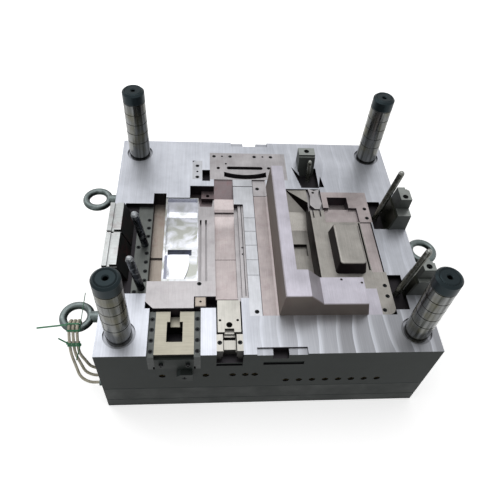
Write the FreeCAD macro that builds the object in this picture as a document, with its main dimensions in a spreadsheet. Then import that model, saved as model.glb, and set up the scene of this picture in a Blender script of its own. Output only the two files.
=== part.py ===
"""Fixed half of a large injection mould, built up as a toolmaker stacks it.

Clamp plate, manifold plate and cavity plate carry four guide pillars, the inserts that form the
moulding, five angle pins with their heel blocks, and two slides in gibs at the front edge.
Origin: centre of the underside. X runs along the long side, Y towards the back, Z up.
Millimetres throughout. Every size lives in the spreadsheet "Sizes" and is bound by expression.
"""

import FreeCAD, Part
import math
import os
import re

import Sketcher
from FreeCAD import Placement, Rotation, Vector

# alias: (value, what it is)
SIZES = {
    # stack of plates
    "plate_length": (1000, "length of the three plates along X"),
    "plate_width": (918, "width of the three plates along Y"),
    "clamp_thickness": (47, "thickness of the clamp plate"),
    "manifold_thickness": (78, "thickness of the manifold plate"),
    "cavity_thickness": (205, "thickness of the cavity plate"),
    "plate_chamfer": (4, "chamfer round the top edge of the two lower plates"),
    "register_diameter": (125, "bore in the clamp plate for the locating ring"),
    "register_depth": (15, "depth of the register bore"),
    # guide pillars
    "pillar_diameter": (75, "guide pillar"),
    "pillar_height": (272, "guide pillar above the parting face"),
    "pillar_inset_x": (65, "pillar axis in from the plate's end"),
    "pillar_inset_y": (70, "pillar axis in from the plate's side"),
    "pillar_head_height": (38, "plain hardened nose of a pillar"),
    "pillar_nose_chamfer": (6, "chamfer at the pillar's nose"),
    "pillar_flange_diameter": (88, "shoulder that holds a pillar from below"),
    "pillar_flange_height": (12, "height of that shoulder"),
    "pillar_groove_count": (5, "oil grooves on a pillar"),
    "pillar_groove_pitch": (40, "oil groove spacing"),
    "pillar_groove_width": (3, "oil groove width"),
    "pillar_groove_depth": (1.5, "oil groove depth"),
    "pillar_centre_hole": (14, "centre hole in a pillar's nose"),
    "pillar_ring_diameter": (54, "turned ring in a pillar's nose"),
    "pillar_relief": (9, "relief round a pillar's foot, beyond its radius"),
    "pillar_relief_depth": (7, "depth of that relief"),
    # plate screws
    "plate_screw_diameter": (24, "shank of the screws that hold the stack"),
    "plate_screw_head": (36, "head diameter of those screws"),
    "plate_screw_head_height": (24, "head height of those screws"),
    "plate_screw_grip": (60, "reach of those screws into the cavity plate"),
    "plate_screw_span_x": (760, "spacing of those screws along X"),
    "plate_screw_span_y": (840, "spacing of those screws along Y"),
    # eye bolts
    "eye_wire": (24, "bar diameter of an eye"),
    "eye_inside": (60, "clear diameter of an eye"),
    "eye_collar": (65, "collar diameter of an eye bolt"),
    "eye_collar_height": (16, "collar height of an eye bolt"),
    "eye_shank": (30, "threaded shank diameter"),
    "eye_shank_length": (45, "threaded shank length in the plate"),
    "eye_reach": (86, "centre of the eye out from the plate"),
    "eye_drop": (100, "centre of the eye below the parting face"),
    "eye_front_y": (-268, "front left eye bolt along Y"),
    "eye_back_y": (240, "back left eye bolt along Y"),
    "eye_right_y": (-6, "right eye bolt along Y"),
    # water ports along the front
    "port_diameter": (20, "water port counterbore"),
    "port_plug_diameter": (16, "socket plug in a water port"),
    "port_recess": (4, "plug face in from the plate"),
    "port_depth": (30, "depth of a water port"),
    "port_drop": (168, "water ports below the parting face"),
    "port_pitch": (41, "spacing of the right group of ports"),
    "port_start": (55, "first port of the right group along X"),
    "port_left_drop": (125, "left ports below the parting face"),
    # insert pocket, from left to right
    "insert_depth": (120, "underside of the inserts below the parting face"),
    "trough_left": (-370, "left edge of the insert pocket"),
    "trough_width": (43, "left trough insert"),
    "trough_floor": (57, "its floor below the parting face"),
    "trough_step": (7, "step in that floor"),
    "trough_step_y": (-70, "place of that step"),
    "trough_back": (175, "back of the left trough"),
    "polished_width": (112, "polished cavity insert"),
    "polished_back": (155, "back of the polished cavity"),
    "polished_deep": (50, "deep end of the polished cavity"),
    "polished_mid": (30, "middle floor of the polished cavity"),
    "polished_rim": (16, "front floor of the polished cavity"),
    "polished_sweep": (60, "radius that sweeps up from the deep end"),
    "mouth_back": (-68, "back of the mouth in the polished insert"),
    "mouth_front": (-92, "front of that mouth"),
    "mouth_depth": (62, "floor of that mouth below the parting face"),
    "block_width": (77, "polished block"),
    "block_inset": (6, "side wall of the polished insert"),
    "block_proud": (5, "polished block above its rim"),
    "block_curve": (190, "radius of the polished block's curved side"),
    "rib_width": (55, "ribbed insert"),
    "rib_top": (12, "ribbed insert below the parting face"),
    "rib_groove_width": (6, "grooves in the ribbed insert"),
    "rib_groove_depth": (14, "depth of those grooves"),
    "rib_groove_pitch": (18, "spacing of those grooves"),
    "panel_width": (68, "panel inserts"),
    "panel_floor": (28, "panel floor below the parting face"),
    "panel_split": (-102, "joint between the two panel inserts"),
    "panel_back": (150, "back of the panel inserts"),
    "panel_front": (-268, "front of the panel inserts"),
    "panel_sweep": (150, "radius that sweeps the panel up at its back"),
    "side_strip_width": (32, "stepped strip beside the panel"),
    "side_strip_low": (20, "its low step below the parting face"),
    "side_strip_high": (8, "its high step below the parting face"),
    "parting_strip_width": (38, "narrow part of the parting strip"),
    "parting_strip_turn": (125, "where the parting strip widens"),
    "parting_strip_back": (213, "back of the parting strip"),
    "vent_pitch": (61, "vent grooves across the parting strip"),
    "vent_width": (3, "vent groove width"),
    "vent_depth": (1, "vent groove depth"),
    "seam": (2, "open joint between the parting strip and the shut-off strip"),
    "shutoff_width": (48, "shut-off strip"),
    "shutoff_drop": (4, "shut-off strip below the parting face"),
    "shutoff_back": (168, "back of the shut-off strip"),
    "core_front": (-332, "front of the insert pocket"),
    "back_front": (250, "front of the slotted back insert"),
    "back_back": (396, "back of the slotted back insert"),
    # core bar
    "bar_height": (100, "core bar above the parting face"),
    "bar_top_width": (41, "core bar across its top"),
    "bar_foot_width": (60, "core bar across its foot"),
    "bar_lean": (8, "lean of the bar's left flank"),
    "bar_back": (217, "back end of the core bar"),
    "bar_edge": (3, "bright chamfer along the bar's top"),
    "foot_depth": (96, "foot of the bar along Y"),
    "foot_height": (60, "low end of the bar's foot"),
    "foot_turn": (111, "end of the high part of the foot"),
    "foot_low": (153, "start of the low part of the foot"),
    "foot_end": (287, "end of the low part of the foot"),
    # right of the bar
    "trench_width": (86, "trench between bar and ridge"),
    "trench_floor": (75, "trench floor below the parting face"),
    "trench_back": (205, "back of the trench"),
    "ridge_width": (51, "ridge"),
    "ridge_back": (100, "back of the ridge"),
    "boss_bed_width": (120, "bed of the boss"),
    "boss_height": (45, "boss above the parting face"),
    "boss_draft": (8, "lean of the boss's sides"),
    "boss_front": (-178, "front of the boss"),
    "boss_back": (6, "back of the boss"),
    "boss_gap": (20, "flat between the boss and the right strip"),
    "boss_round": (12, "rounding of the boss"),
    "right_strip_width": (40, "strip right of the boss"),
    "right_front_edge": (390, "right edge of the screwed right inserts"),
    "right_corner": (26, "round corner of the right front insert"),
    "right_middle_front": (-172, "front of the right strip"),
    "right_middle_back": (44, "back of the boss bed"),
    "right_back_back": (190, "back of the right back insert"),
    "right_pocket_depth": (40, "pocket in the right back insert"),
    # star core behind the trench
    "star_hole": (10, "hole in the star core"),
    "star_top": (4, "star core above the parting face"),
    # back inserts
    "back_left": (-174, "left edge of the slotted back insert"),
    "back_right": (112, "right edge of the slotted back insert"),
    "slot_half": (62, "half length of the straight slot"),
    "slot_middle": (-44, "middle of the slots along X"),
    "slot_back": (321, "back of the straight slot"),
    "slot_width": (16, "width of the straight slot"),
    "slot_depth": (36, "depth of the slots"),
    "slope_low": (48, "low end of the sloping insert"),
    "crescent_half": (78, "half length of the crescent slot"),
    "crescent_back": (292, "back edge of the crescent slot"),
    "crescent_radius": (250, "curve of the crescent slot"),
    "crescent_wide": (26, "width of the crescent slot at its ends"),
    "gib_left": (-238, "left edge of the back gib"),
    "gib_width": (36, "back gib"),
    "gib_thickness": (30, "thickness of the screwed gibs"),
    "gib_back": (350, "back of the back gib"),
    "corner_back": (300, "back of the corner pocket"),
    "corner_floor": (22, "corner pocket below the parting face"),
    "step_left": (-245, "left edge of the stepped insert"),
    "step_back": (215, "back of the stepped insert"),
    "step_deep": (45, "depth of the stepped insert"),
    # left slide pocket
    "left_pocket_left": (-463, "left edge of the left slide pocket"),
    "left_pocket_front": (-250, "front of the left slide pocket"),
    "left_pocket_back": (125, "back of the left slide pocket"),
    "slide_floor": (17, "slide pocket floors below the parting face"),
    "left_gib_width": (48, "screwed strip beside the left trough"),
    # heel blocks
    "heel_seat": (45, "heel blocks go this far into the plate"),
    "heel_left_seat": (75, "left heels go this far into the plate"),
    "heel_left_top": (43, "left heels across the top"),
    "heel_left_foot": (70, "left heels across the foot"),
    "heel_left_height": (60, "left heels above the parting face"),
    "heel_left_front": (-190, "front of the left heels"),
    "heel_left_back": (70, "back of the left heels"),
    "heel_left_gap": (6, "gap between the two left heels"),
    "heel_left_joint": (-58, "front edge of that gap"),
    "heel_groove_width": (8, "oil groove along the left heels"),
    "heel_groove_depth": (5, "depth of that groove"),
    "heel_right_top": (38, "right heels across the top"),
    "heel_right_foot": (69, "right heels across the foot"),
    "heel_right_height": (110, "right heels above the parting face"),
    "heel_right_step": (42, "drop to the lower step of a right heel"),
    "heel_right_back_main": (60, "high part of the right back heel along Y"),
    "heel_right_front_main": (43, "high part of the right front heel along Y"),
    "heel_right_back_y": (12, "front of the right back heel"),
    "heel_right_back_step": (35, "low step of the right back heel along Y"),
    "heel_right_front_y": (-262, "front of the right front heel"),
    "heel_right_front_step": (14, "low step of the right front heel along Y"),
    "wear_thickness": (8, "wear plates on the right heels"),
    "heel_back_left": (155, "left edge of the back heel"),
    "heel_back_width": (60, "back heel"),
    "heel_back_front": (317, "front of the back heel's top"),
    "heel_back_length": (46, "back heel along Y across its top"),
    "heel_back_height": (60, "back heel above the parting face"),
    "heel_back_slope": (20, "lean of the back heel's front"),
    # angle pins
    "pin_left_diameter": (24, "left angle pins"),
    "pin_left_lean": (8, "lean of the left angle pins, degrees"),
    "pin_left_length": (137, "left angle pins above their pocket"),
    "pin_left_x": (-390, "left angle pins at the parting face"),
    "pin_left_front_y": (-218, "front left angle pin"),
    "pin_left_back_y": (-45, "back left angle pin"),
    "pin_right_diameter": (20, "right angle pins"),
    "pin_right_lean": (9, "lean of the right angle pins, degrees"),
    "pin_right_length": (210, "right angle pins above their pocket"),
    "pin_right_x": (411, "right angle pins at the parting face"),
    "pin_right_front_y": (-249, "front right angle pin"),
    "pin_right_back_y": (78, "back right angle pin"),
    "pin_back_diameter": (16, "back angle pin"),
    "pin_back_lean": (15, "lean of the back angle pin, degrees"),
    "pin_back_length": (61, "back angle pin above its pocket"),
    "pin_back_x": (192, "back angle pin along X"),
    "pin_back_y": (279, "back angle pin at the parting face"),
    "pin_seat": (45, "angle pins go this far into the plate"),
    # right slide pockets
    "right_pocket_width": (44, "right slide pockets along X"),
    "right_pocket_length": (130, "right slide pockets along Y"),
    # back slide pocket
    "back_pocket_left": (158, "left edge of the back slide pocket"),
    "back_pocket_width": (66, "back slide pocket"),
    "back_pocket_front": (212, "front of the back slide pocket"),
    "back_pocket_depth": (22, "depth of the back slide pocket"),
    # front lock plate
    "lock_front": (-303, "front of the lock plate"),
    "lock_back": (-205, "back of the lock plate"),
    "lock_thickness": (40, "lock plate"),
    "lock_corner": (24, "cut corner of the lock plate"),
    "notch_left": (-226, "left edge of the notch in the lock plate"),
    "notch_back": (-262, "back of the notch in the lock plate"),
    "lock_pad_width": (34, "square pad in the notch"),
    # large slide
    "slide_left": (-355, "left edge of the large slide's channel"),
    "slide_channel": (150, "width of that channel"),
    "slide_gib": (19, "gibs of the large slide"),
    "slide_top": (10, "top of the large slide below the parting face"),
    "slide_height": (70, "height of the large slide"),
    "slide_back": (-309, "back end of the large slide"),
    "slide_length": (141, "large slide along Y"),
    "slide_lip": (5, "guide lip each side of the slide"),
    "slide_lip_height": (14, "height of the guide lip"),
    "slide_slot_width": (46, "mouth through the large slide"),
    "slide_slot_length": (66, "length of that mouth"),
    "slide_slot_front": (-410, "front of that mouth"),
    "slide_neck": (28, "neck that runs back from the mouth"),
    "slide_stroke": (40, "travel of the large slide"),
    "slide_plate_thickness": (9, "plate screwed to the front of the large slide"),
    "slide_plate_drop": (14, "top of that plate below the top of the slide"),
    "stop_pin_x": (-320, "stop pin along X"),
    "stop_pin_y": (-400, "stop pin along Y"),
    "stop_pin_diameter": (12, "stop pin under the large slide"),
    "stop_pin_height": (22, "stop pin above the channel floor"),
    "latch_width": (46, "latch under the large slide"),
    "latch_height": (38, "height of that latch"),
    "latch_thickness": (18, "latch out from the plate"),
    "slide_fit": (0.05, "running clearance of both slides"),
    # small slide
    "mini_channel": (76, "width of that channel"),
    "mini_gib": (18, "gibs of the small slide"),
    "mini_gib_length": (54, "length of those gibs"),
    "mini_gib_front": (-447, "front end of those gibs"),
    "mini_front": (-385, "front end of the small slide's head"),
    "mini_back": (-275, "back end of the small slide"),
    "mini_depth": (48, "depth of the small slide's channel"),
    "mini_margin": (4, "open joint each side of the small slide"),
    "mini_tail": (34, "width of the small slide's tail"),
    "mini_tail_front": (-432, "front end of the tail"),
    "mini_pin_hole": (18, "leaning pin hole in the small slide"),
    "mini_pin_lean": (15, "lean of that hole, degrees"),
    "mini_hole": (8, "upright holes in the small slide"),
    "mini_flange": (7, "guide flange each side of the small slide's tail"),
    "mini_flange_height": (14, "height of that flange"),
    "mini_tail_top": (20, "top of the tail below the parting face"),
    # edge details
    "interlock_left": (-46, "left edge of the front interlock"),
    "interlock_width": (146, "front interlock"),
    "interlock_length": (22, "front interlock along Y"),
    "interlock_depth": (6, "depth of the interlocks"),
    "tongue_width": (46, "deeper notch in an interlock"),
    "tongue_depth": (26, "depth of that notch"),
    "ledge_depth": (5, "ledges cut into the front face"),
    "ledge_drop": (46, "ledges below the parting face"),
    "ledge_height": (18, "height of a ledge"),
    # small screws
    "screw_head": (13, "head of an insert screw"),
    "screw_shank": (8, "shank of an insert screw"),
    "screw_grip": (14, "reach of an insert screw into the plate"),
    "heel_screw_head": (18, "head of a heel screw"),
    "heel_screw_head_height": (12, "head height of a heel screw"),
    "heel_screw_shank": (12, "shank of a heel screw"),
    "heel_screw_length": (85, "level heel screws below their heads"),
    "heel_grip": (75, "reach of the upright heel screws below the parting face"),
    "wear_screw_head": (11, "head of a wear plate screw"),
    "wear_screw_shank": (6, "shank of a wear plate screw"),
    "wear_screw_length": (14, "reach of a wear plate screw into its heel"),
    "screw_sink": (9, "counterbore of an insert screw"),
    "screw_head_height": (8, "head height of an insert screw"),
    "screw_gap": (0.5, "gap round a screw head"),
    # hot runner
    "runner_length": (620, "hot runner manifold"),
    "runner_width": (90, "hot runner manifold"),
    "runner_height": (42, "hot runner manifold"),
    "runner_air": (14, "air gap round the manifold"),
    "nozzle_diameter": (40, "hot runner nozzles"),
    "nozzle_left_x": (-270, "left nozzle"),
    "nozzle_right_x": (262, "right nozzle"),
    "feed_diameter": (10, "melt channel"),
    "sprue_flange": (84, "flange of the sprue bushing"),
    "sprue_diameter": (60, "sprue bushing"),
    # cables
    "cable_diameter": (9, "heater cables"),
    "gland_diameter": (22, "cable glands"),
    "gland_length": (20, "cable glands beyond the plate"),
    "gland_front_y": (-418, "first cable gland along Y"),
    "gland_pitch": (24, "cable gland spacing"),
    "cable_pitch": (12, "spacing of the cables beside the ring"),
    "cable_sag": (6, "rounding of the cables over the ring"),
    "tie_width": (5, "cable ties"),
    "tie_thickness": (1.4, "thickness of a cable tie"),
    "tie_gap": (0.25, "room inside a cable tie"),
    "gland_thread": (12, "cable glands into the plate"),
}

doc = FreeCAD.newDocument("mould_half")
sheet = doc.addObject("Spreadsheet::Sheet", "Sizes")
for row, (alias, (value, meaning)) in enumerate(SIZES.items(), start=1):
    sheet.set(f"A{row}", meaning)
    sheet.set(f"B{row}", str(value))
    sheet.setAlias(f"B{row}", alias)
doc.recompute()

NODES = []
XY, XZ, YZ = "XY_Plane", "XZ_Plane", "YZ_Plane"


# ---------------------------------------------------------------- expressions and features

def bound(formula):
    """The sheet's own form of a formula written with plain aliases."""
    return re.sub(r"[a-z][a-z_]*", lambda word: "Sizes." + word[0] if word[0] in SIZES else word[0],
                  str(formula))


def number(formula):
    """A formula's present value."""
    return float(sheet.evalExpression(bound(formula)))


def plane(body, role):
    return next(item for item in body.Origin.OriginFeatures if item.Role == role)


def node(shape_object):
    """Keep an object as one of the assembly's pieces."""
    NODES.append(shape_object)
    return shape_object


def new_body(label, height="0", alone=True):
    """A body standing at a height; alone=False leaves it to be joined into a group of like pieces."""
    body = doc.addObject("PartDesign::Body", label)
    body.Label = label
    if alone:
        node(body)
    body.setExpression("Placement.Base.z", bound(height))
    return body


def rectangle(left, right, low, high):
    return [(left, low), (right, low), (right, high), (left, high)]


def arc_centre(start, end, radius):
    """Centre of the short arc from start to end; a negative radius bends it clockwise."""
    middle = (start + end) * 0.5
    half = (end - start).Length / 2
    rise = math.sqrt(max(radius * radius - half * half, 0.0))
    across = Vector(start.y - end.y, end.x - start.x, 0).normalize()
    return middle + across * (rise if radius > 0 else -rise)


def draw_edge(drawing, start, end, radius):
    """One side of an outline. Returns its number and which of its ends is start and which is end."""
    if radius is None:
        return drawing.addGeometry(Part.LineSegment(start, end)), 1, 2
    centre = arc_centre(start, end, radius)
    first, last = (start, end) if radius > 0 else (end, start)
    turn = math.atan2(first.y - centre.y, first.x - centre.x)
    stop = math.atan2(last.y - centre.y, last.x - centre.x)
    circle = Part.Circle(centre, Vector(0, 0, 1), abs(radius))
    edge = drawing.addGeometry(Part.ArcOfCircle(circle, turn, stop))
    return (edge, 1, 2) if radius > 0 else (edge, 2, 1)


def pin_down(drawing, kind, formula, *where):
    """A dimension that follows its formula."""
    index = drawing.addConstraint(Sketcher.Constraint(kind, *where, number(formula)))
    drawing.setExpression(f"Constraints[{index}]", bound(formula))


def draw_outline(drawing, corners):
    """A closed outline. A corner (u, v, radius) starts an arc to the next corner."""
    places = [Vector(number(corner[0]), number(corner[1]), 0) for corner in corners]
    edges = []
    for index, corner in enumerate(corners):
        radius = number(corner[2]) if len(corner) > 2 else None
        edges.append(draw_edge(drawing, places[index], places[(index + 1) % len(places)], radius))
    for index, (edge, start, end) in enumerate(edges):
        following = edges[(index + 1) % len(edges)]
        drawing.addConstraint(Sketcher.Constraint("Coincident", edge, end, following[0], following[1]))
    for corner, (edge, start, end) in zip(corners, edges):
        pin_down(drawing, "DistanceX", corner[0], -1, 1, edge, start)
        pin_down(drawing, "DistanceY", corner[1], -1, 1, edge, start)
        if len(corner) > 2:
            pin_down(drawing, "Radius", f"abs({corner[2]})", edge)


def draw_circle(drawing, across, up, diameter):
    centre = Vector(number(across), number(up), 0)
    edge = drawing.addGeometry(Part.Circle(centre, Vector(0, 0, 1), number(diameter) / 2))
    pin_down(drawing, "DistanceX", across, -1, 1, edge, 3)
    pin_down(drawing, "DistanceY", up, -1, 1, edge, 3)
    pin_down(drawing, "Diameter", diameter, edge)


def sketch(body, name, role, offset, outlines=(), circles=()):
    drawing = body.newObject("Sketcher::SketchObject", name)
    drawing.AttachmentSupport = [(plane(body, role), "")]
    drawing.MapMode = "FlatFace"
    drawing.setExpression("AttachmentOffset.Base.z", bound(offset))
    for corners in outlines:
        draw_outline(drawing, corners)
    for across, up, diameter in circles:
        draw_circle(drawing, across, up, diameter)
    return drawing


def add(body, name, role, low, high, outlines=(), circles=()):
    """A pad between two levels across a plane. The XZ plane looks along -Y."""
    offset = f"-({high})" if role == XZ else low
    profile = sketch(body, name + "_sketch", role, offset, outlines, circles)
    feature = body.newObject("PartDesign::Pad", name)
    feature.Profile = profile
    feature.setExpression("Length", bound(f"({high}) - ({low})"))
    return feature


def take(body, name, role, low, high, outlines=(), circles=()):
    """A pocket between two levels across a plane."""
    offset = f"-({low})" if role == XZ else high
    profile = sketch(body, name + "_sketch", role, offset, outlines, circles)
    feature = body.newObject("PartDesign::Pocket", name)
    feature.Profile = profile
    feature.setExpression("Length", bound(f"({high}) - ({low})"))
    return feature


def turn(body, name, corners):
    """A solid of revolution round the body's own Z axis."""
    profile = sketch(body, name + "_sketch", XZ, "0", [corners])
    feature = body.newObject("PartDesign::Revolution", name)
    feature.Profile = profile
    feature.ReferenceAxis = (profile, ["V_Axis"])
    feature.Angle = 360
    return feature


def edges_where(feature, test):
    """Names of the edges of a feature whose middle and direction pass a test."""
    doc.recompute()
    names = []
    for index, edge in enumerate(feature.Shape.Edges, start=1):
        if len(edge.Vertexes) != 2:
            continue
        ends = [vertex.Point for vertex in edge.Vertexes]
        if test((ends[0] + ends[1]) * 0.5, (ends[1] - ends[0]).normalize()):
            names.append(f"Edge{index}")
    return names


def dress(body, kind, name, feature, size, test):
    """A fillet or a chamfer on the edges that pass a test."""
    names = edges_where(feature, test)
    dressing = body.newObject(f"PartDesign::{kind}", name)
    dressing.Base = (feature, names)
    dressing.setExpression("Radius" if kind == "Fillet" else "Size", bound(size))
    return dressing


def drill(body, name, diameter, length, base, axis, angle):
    """A leaning round hole, from its low end up."""
    hole = body.newObject("PartDesign::SubtractiveCylinder", name)
    hole.setExpression("Radius", bound(f"({diameter}) / 2"))
    hole.setExpression("Height", bound(length))
    hole.Placement = Placement(Vector(), Rotation(axis, number(angle)))
    hole.setExpression("Placement.Rotation.Angle", bound(f"({angle}) * 1 deg"))
    for letter, formula in zip("xyz", base):
        hole.setExpression(f"Placement.Base.{letter}", bound(formula))
    return hole


# ---------------------------------------------------------------- stations, left to right

PARTING = "(clamp_thickness + manifold_thickness + cavity_thickness)"
HALF_LENGTH = "(plate_length / 2)"
HALF_WIDTH = "(plate_width / 2)"
POLISHED_LEFT = "(trough_left + trough_width)"
RIB_LEFT = f"({POLISHED_LEFT} + polished_width)"
PANEL_LEFT = f"({RIB_LEFT} + rib_width)"
SIDE_LEFT = f"({PANEL_LEFT} + panel_width)"
PARTING_LEFT = f"({SIDE_LEFT} + side_strip_width)"
PARTING_RIGHT = f"({PARTING_LEFT} + parting_strip_width)"
SHUTOFF_LEFT = f"({PARTING_RIGHT} + seam)"
BAR_LEFT = f"({SHUTOFF_LEFT} + shutoff_width)"
BAR_RIGHT = f"({BAR_LEFT} + bar_foot_width)"
RIDGE_LEFT = f"({BAR_RIGHT} + trench_width)"
RIDGE_RIGHT = f"({RIDGE_LEFT} + ridge_width)"
BED_RIGHT = f"({RIDGE_RIGHT} + boss_bed_width)"
STRIP_RIGHT = f"({BED_RIGHT} + right_strip_width)"
FOOT_BACK = "(core_front + foot_depth)"
LEFT_GIB_LEFT = "(trough_left - left_gib_width)"
GIB_RIGHT = "(gib_left + gib_width)"
BACK_POCKET_RIGHT = "(back_pocket_left + back_pocket_width)"
BACK_HEEL_RIGHT = "(heel_back_left + heel_back_width)"
SLIDE_RIGHT = "(slide_left + slide_channel)"
MINI_RIGHT = f"({PANEL_LEFT} + mini_channel)"
RUNNER_TOP = "(runner_air + runner_height)"
SLIDE_BOLTS = ("(slide_left + 38)", "(slide_left + 114)")
SLIDE_BOLT_Z = "(-slide_top - slide_height / 2 - 5)"
SLIDE_FLOOR = "(slide_top + slide_height)"
LATCH_X = "(slide_left + slide_channel * 0.69)"
LATCH_Z = f"(-{SLIDE_FLOOR} - slide_lip - latch_height / 2)"


# ---------------------------------------------------------------- places of repeated pieces

def pillar_places():
    """Side names and axes of the four guide pillars."""
    for depth, sign_y in (("front", -1), ("back", 1)):
        for side, sign_x in (("left", -1), ("right", 1)):
            yield (f"{depth}_{side}", f"{sign_x} * ({HALF_LENGTH} - pillar_inset_x)",
                   f"{sign_y} * ({HALF_WIDTH} - pillar_inset_y)")


PLATE_SCREWS = [(f"{sign_x} * plate_screw_span_x / 2", f"{sign_y} * plate_screw_span_y / 2")
                for sign_x in (-1, 0, 1) for sign_y in (-1, 1)]

EYES = {
    "left_front": (-1, "eye_front_y"),
    "left_back": (-1, "eye_back_y"),
    "right": (1, "eye_right_y"),
}

# name: (diameter, lean, axis it leans round, x, y, length above the pocket)
PINS = {
    "left_front": ("pin_left_diameter", "-pin_left_lean", Vector(0, 1, 0),
                   "pin_left_x", "pin_left_front_y", "pin_left_length"),
    "left_back": ("pin_left_diameter", "-pin_left_lean", Vector(0, 1, 0),
                  "pin_left_x", "pin_left_back_y", "pin_left_length"),
    "right_front": ("pin_right_diameter", "pin_right_lean", Vector(0, 1, 0),
                    "pin_right_x", "pin_right_front_y", "pin_right_length"),
    "right_back": ("pin_right_diameter", "pin_right_lean", Vector(0, 1, 0),
                   "pin_right_x", "pin_right_back_y", "pin_right_length"),
    "back": ("pin_back_diameter", "-pin_back_lean", Vector(1, 0, 0),
             "pin_back_x", "pin_back_y", "pin_back_length"),
}

# water ports on the front face: place along X and drop below the parting face
PORTS = ([(x, "port_left_drop") for x in ("-318", "-190", "-110", "-72", "-44")]
         + [(f"port_start + {step} * port_pitch", "port_drop") for step in range(8)])

LEFT_HEELS = {
    "left_front": ("heel_left_front", "heel_left_joint"),
    "left_back": ("heel_left_joint + heel_left_gap", "heel_left_back"),
}

# front of each right heel, its low step and its high part along Y
RIGHT_HEELS = {
    "right_back": ("heel_right_back_y", "heel_right_back_step", "heel_right_back_main"),
    "right_front": ("heel_right_front_y", "heel_right_front_step", "heel_right_front_main"),
}

# screws whose heads sit in counterbores on the parting side: piece it holds, x, y, height of the face
SCREWS = (
    [("left_gib_strip", f"{LEFT_GIB_LEFT} + 38", f"-190 + {step} * 36", "-slide_floor")
     for step in (0, 1, 2, 3, 5, 6, 7)]
    + [("left_gib_strip", f"{LEFT_GIB_LEFT} + 10", y, "-slide_floor") for y in ("-233", "-57")]
    + [("back_gib", "gib_left + gib_width / 2", y, "0") for y in ("262", "322")]
    + [("slotted_back_insert", x, "back_back - 19", "0") for x in ("-158", "-97", "-5", "58")]
    + [("parting_strip", f"{PARTING_LEFT} + 22", "core_front + 14", "0")]
    + [("end_pad", f"{SHUTOFF_LEFT} + 16", "207", "-shutoff_drop")]
    + [("front_lock_plate", f"{PANEL_LEFT} - 50", "lock_back - 10", "0")]
    + [("right_front_insert", "right_front_edge - 16", y, "0") for y in ("-265", "-225")]
    + [("right_front_insert", f"{BED_RIGHT} + 9", "core_front + 16", "0")]
    + [("right_back_insert", "right_front_edge - 16", y, "0") for y in ("64", "108")]
    + [("large_slide_gibs", x, f"slide_back - 26 - {step} * 35", "-slide_top")
       for x in ("slide_left + slide_gib / 2", f"{SLIDE_RIGHT} - slide_gib / 2") for step in range(4)]
    + [("small_slide_gibs", x, "mini_gib_front + mini_gib_length / 2", "0")
       for x in (f"{PANEL_LEFT} + mini_gib / 2", f"{MINI_RIGHT} - mini_gib / 2")]
)

# undersides of the screwed pieces that are thinner than the inserts
UNDERSIDES = {
    "left_gib_strip": "(-slide_floor - gib_thickness)",
    "back_gib": "(-gib_thickness)",
    "front_lock_plate": "(-lock_thickness)",
    "large_slide_gibs": "(-slide_top - slide_height)",
    "small_slide_gibs": "(-mini_depth)",
}


def underside(piece):
    return UNDERSIDES.get(piece, "(-insert_depth)")


# upright heel screws: x, y, height of the face above the parting face
HEEL_SCREWS = (
    [(f"{HALF_LENGTH} - 20", f"{front} + {step} + 15", "heel_right_height")
     for front, step, main in RIGHT_HEELS.values()]
    + [("heel_back_left + heel_back_width / 2", "heel_back_front + heel_back_length * 0.6",
        "heel_back_height")]
)
# level heel screws in the plate's left end: y
SIDE_SCREWS = [place for front, back in LEFT_HEELS.values() for place in (f"{front} + 28", f"{back} - 28")]
SIDE_SCREW_DROP = "(heel_left_seat - heel_screw_head + 3)"
WEAR_LEAN = ("(atan((heel_right_foot - wear_thickness - heel_right_top)"
             " / (heel_right_height + slide_floor)) / 1 deg)")
WEAR_FOOT = f"({HALF_LENGTH} - heel_right_foot + wear_thickness)"


def screw_holes(piece):
    """Counterbored holes of the screws that hold one piece."""
    return [(x, y, face) for owner, x, y, face in SCREWS if owner == piece]


def bore(body, holes, floor):
    """Counterbored through holes, given with the height of their face."""
    face = holes[0][2]
    take(body, "counterbores", XY, f"{face} - screw_sink", face,
         circles=[(x, y, "screw_head + 2 * screw_gap") for x, y, level in holes])
    take(body, "screw_holes", XY, floor, f"{face} - screw_sink",
         circles=[(x, y, "screw_shank") for x, y, level in holes])


def bore_for_screws(body, piece, floor):
    """The holes of every screw of one piece, down to its underside."""
    bore(body, screw_holes(piece), floor)


# ---------------------------------------------------------------- the three plates

def plate_outline():
    return [rectangle(f"-{HALF_LENGTH}", HALF_LENGTH, f"-{HALF_WIDTH}", HALF_WIDTH)]


def level_edge(height):
    """Tests for the horizontal edges round a plate at one height."""
    def test(middle, direction):
        outside = max(abs(middle.x) - number(HALF_LENGTH), abs(middle.y) - number(HALF_WIDTH))
        return abs(middle.z - number(height)) < 0.01 and abs(outside) < 0.01
    return test


def make_clamp_plate():
    body = new_body("clamp_plate")
    slab = add(body, "slab", XY, "0", "clamp_thickness", plate_outline())
    dress(body, "Chamfer", "edge_break", slab, "plate_chamfer", level_edge("clamp_thickness"))
    take(body, "register_bore", XY, "0", "register_depth", circles=[("0", "0", "register_diameter")])
    take(body, "sprue_bore", XY, "register_depth", "clamp_thickness", circles=[("0", "0", "sprue_diameter")])
    take(body, "screw_heads", XY, "0", "plate_screw_head_height + 1",
         circles=[(x, y, "plate_screw_head") for x, y in PLATE_SCREWS])
    take(body, "screw_shanks", XY, "plate_screw_head_height + 1", "clamp_thickness",
         circles=[(x, y, "plate_screw_diameter") for x, y in PLATE_SCREWS])


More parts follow.
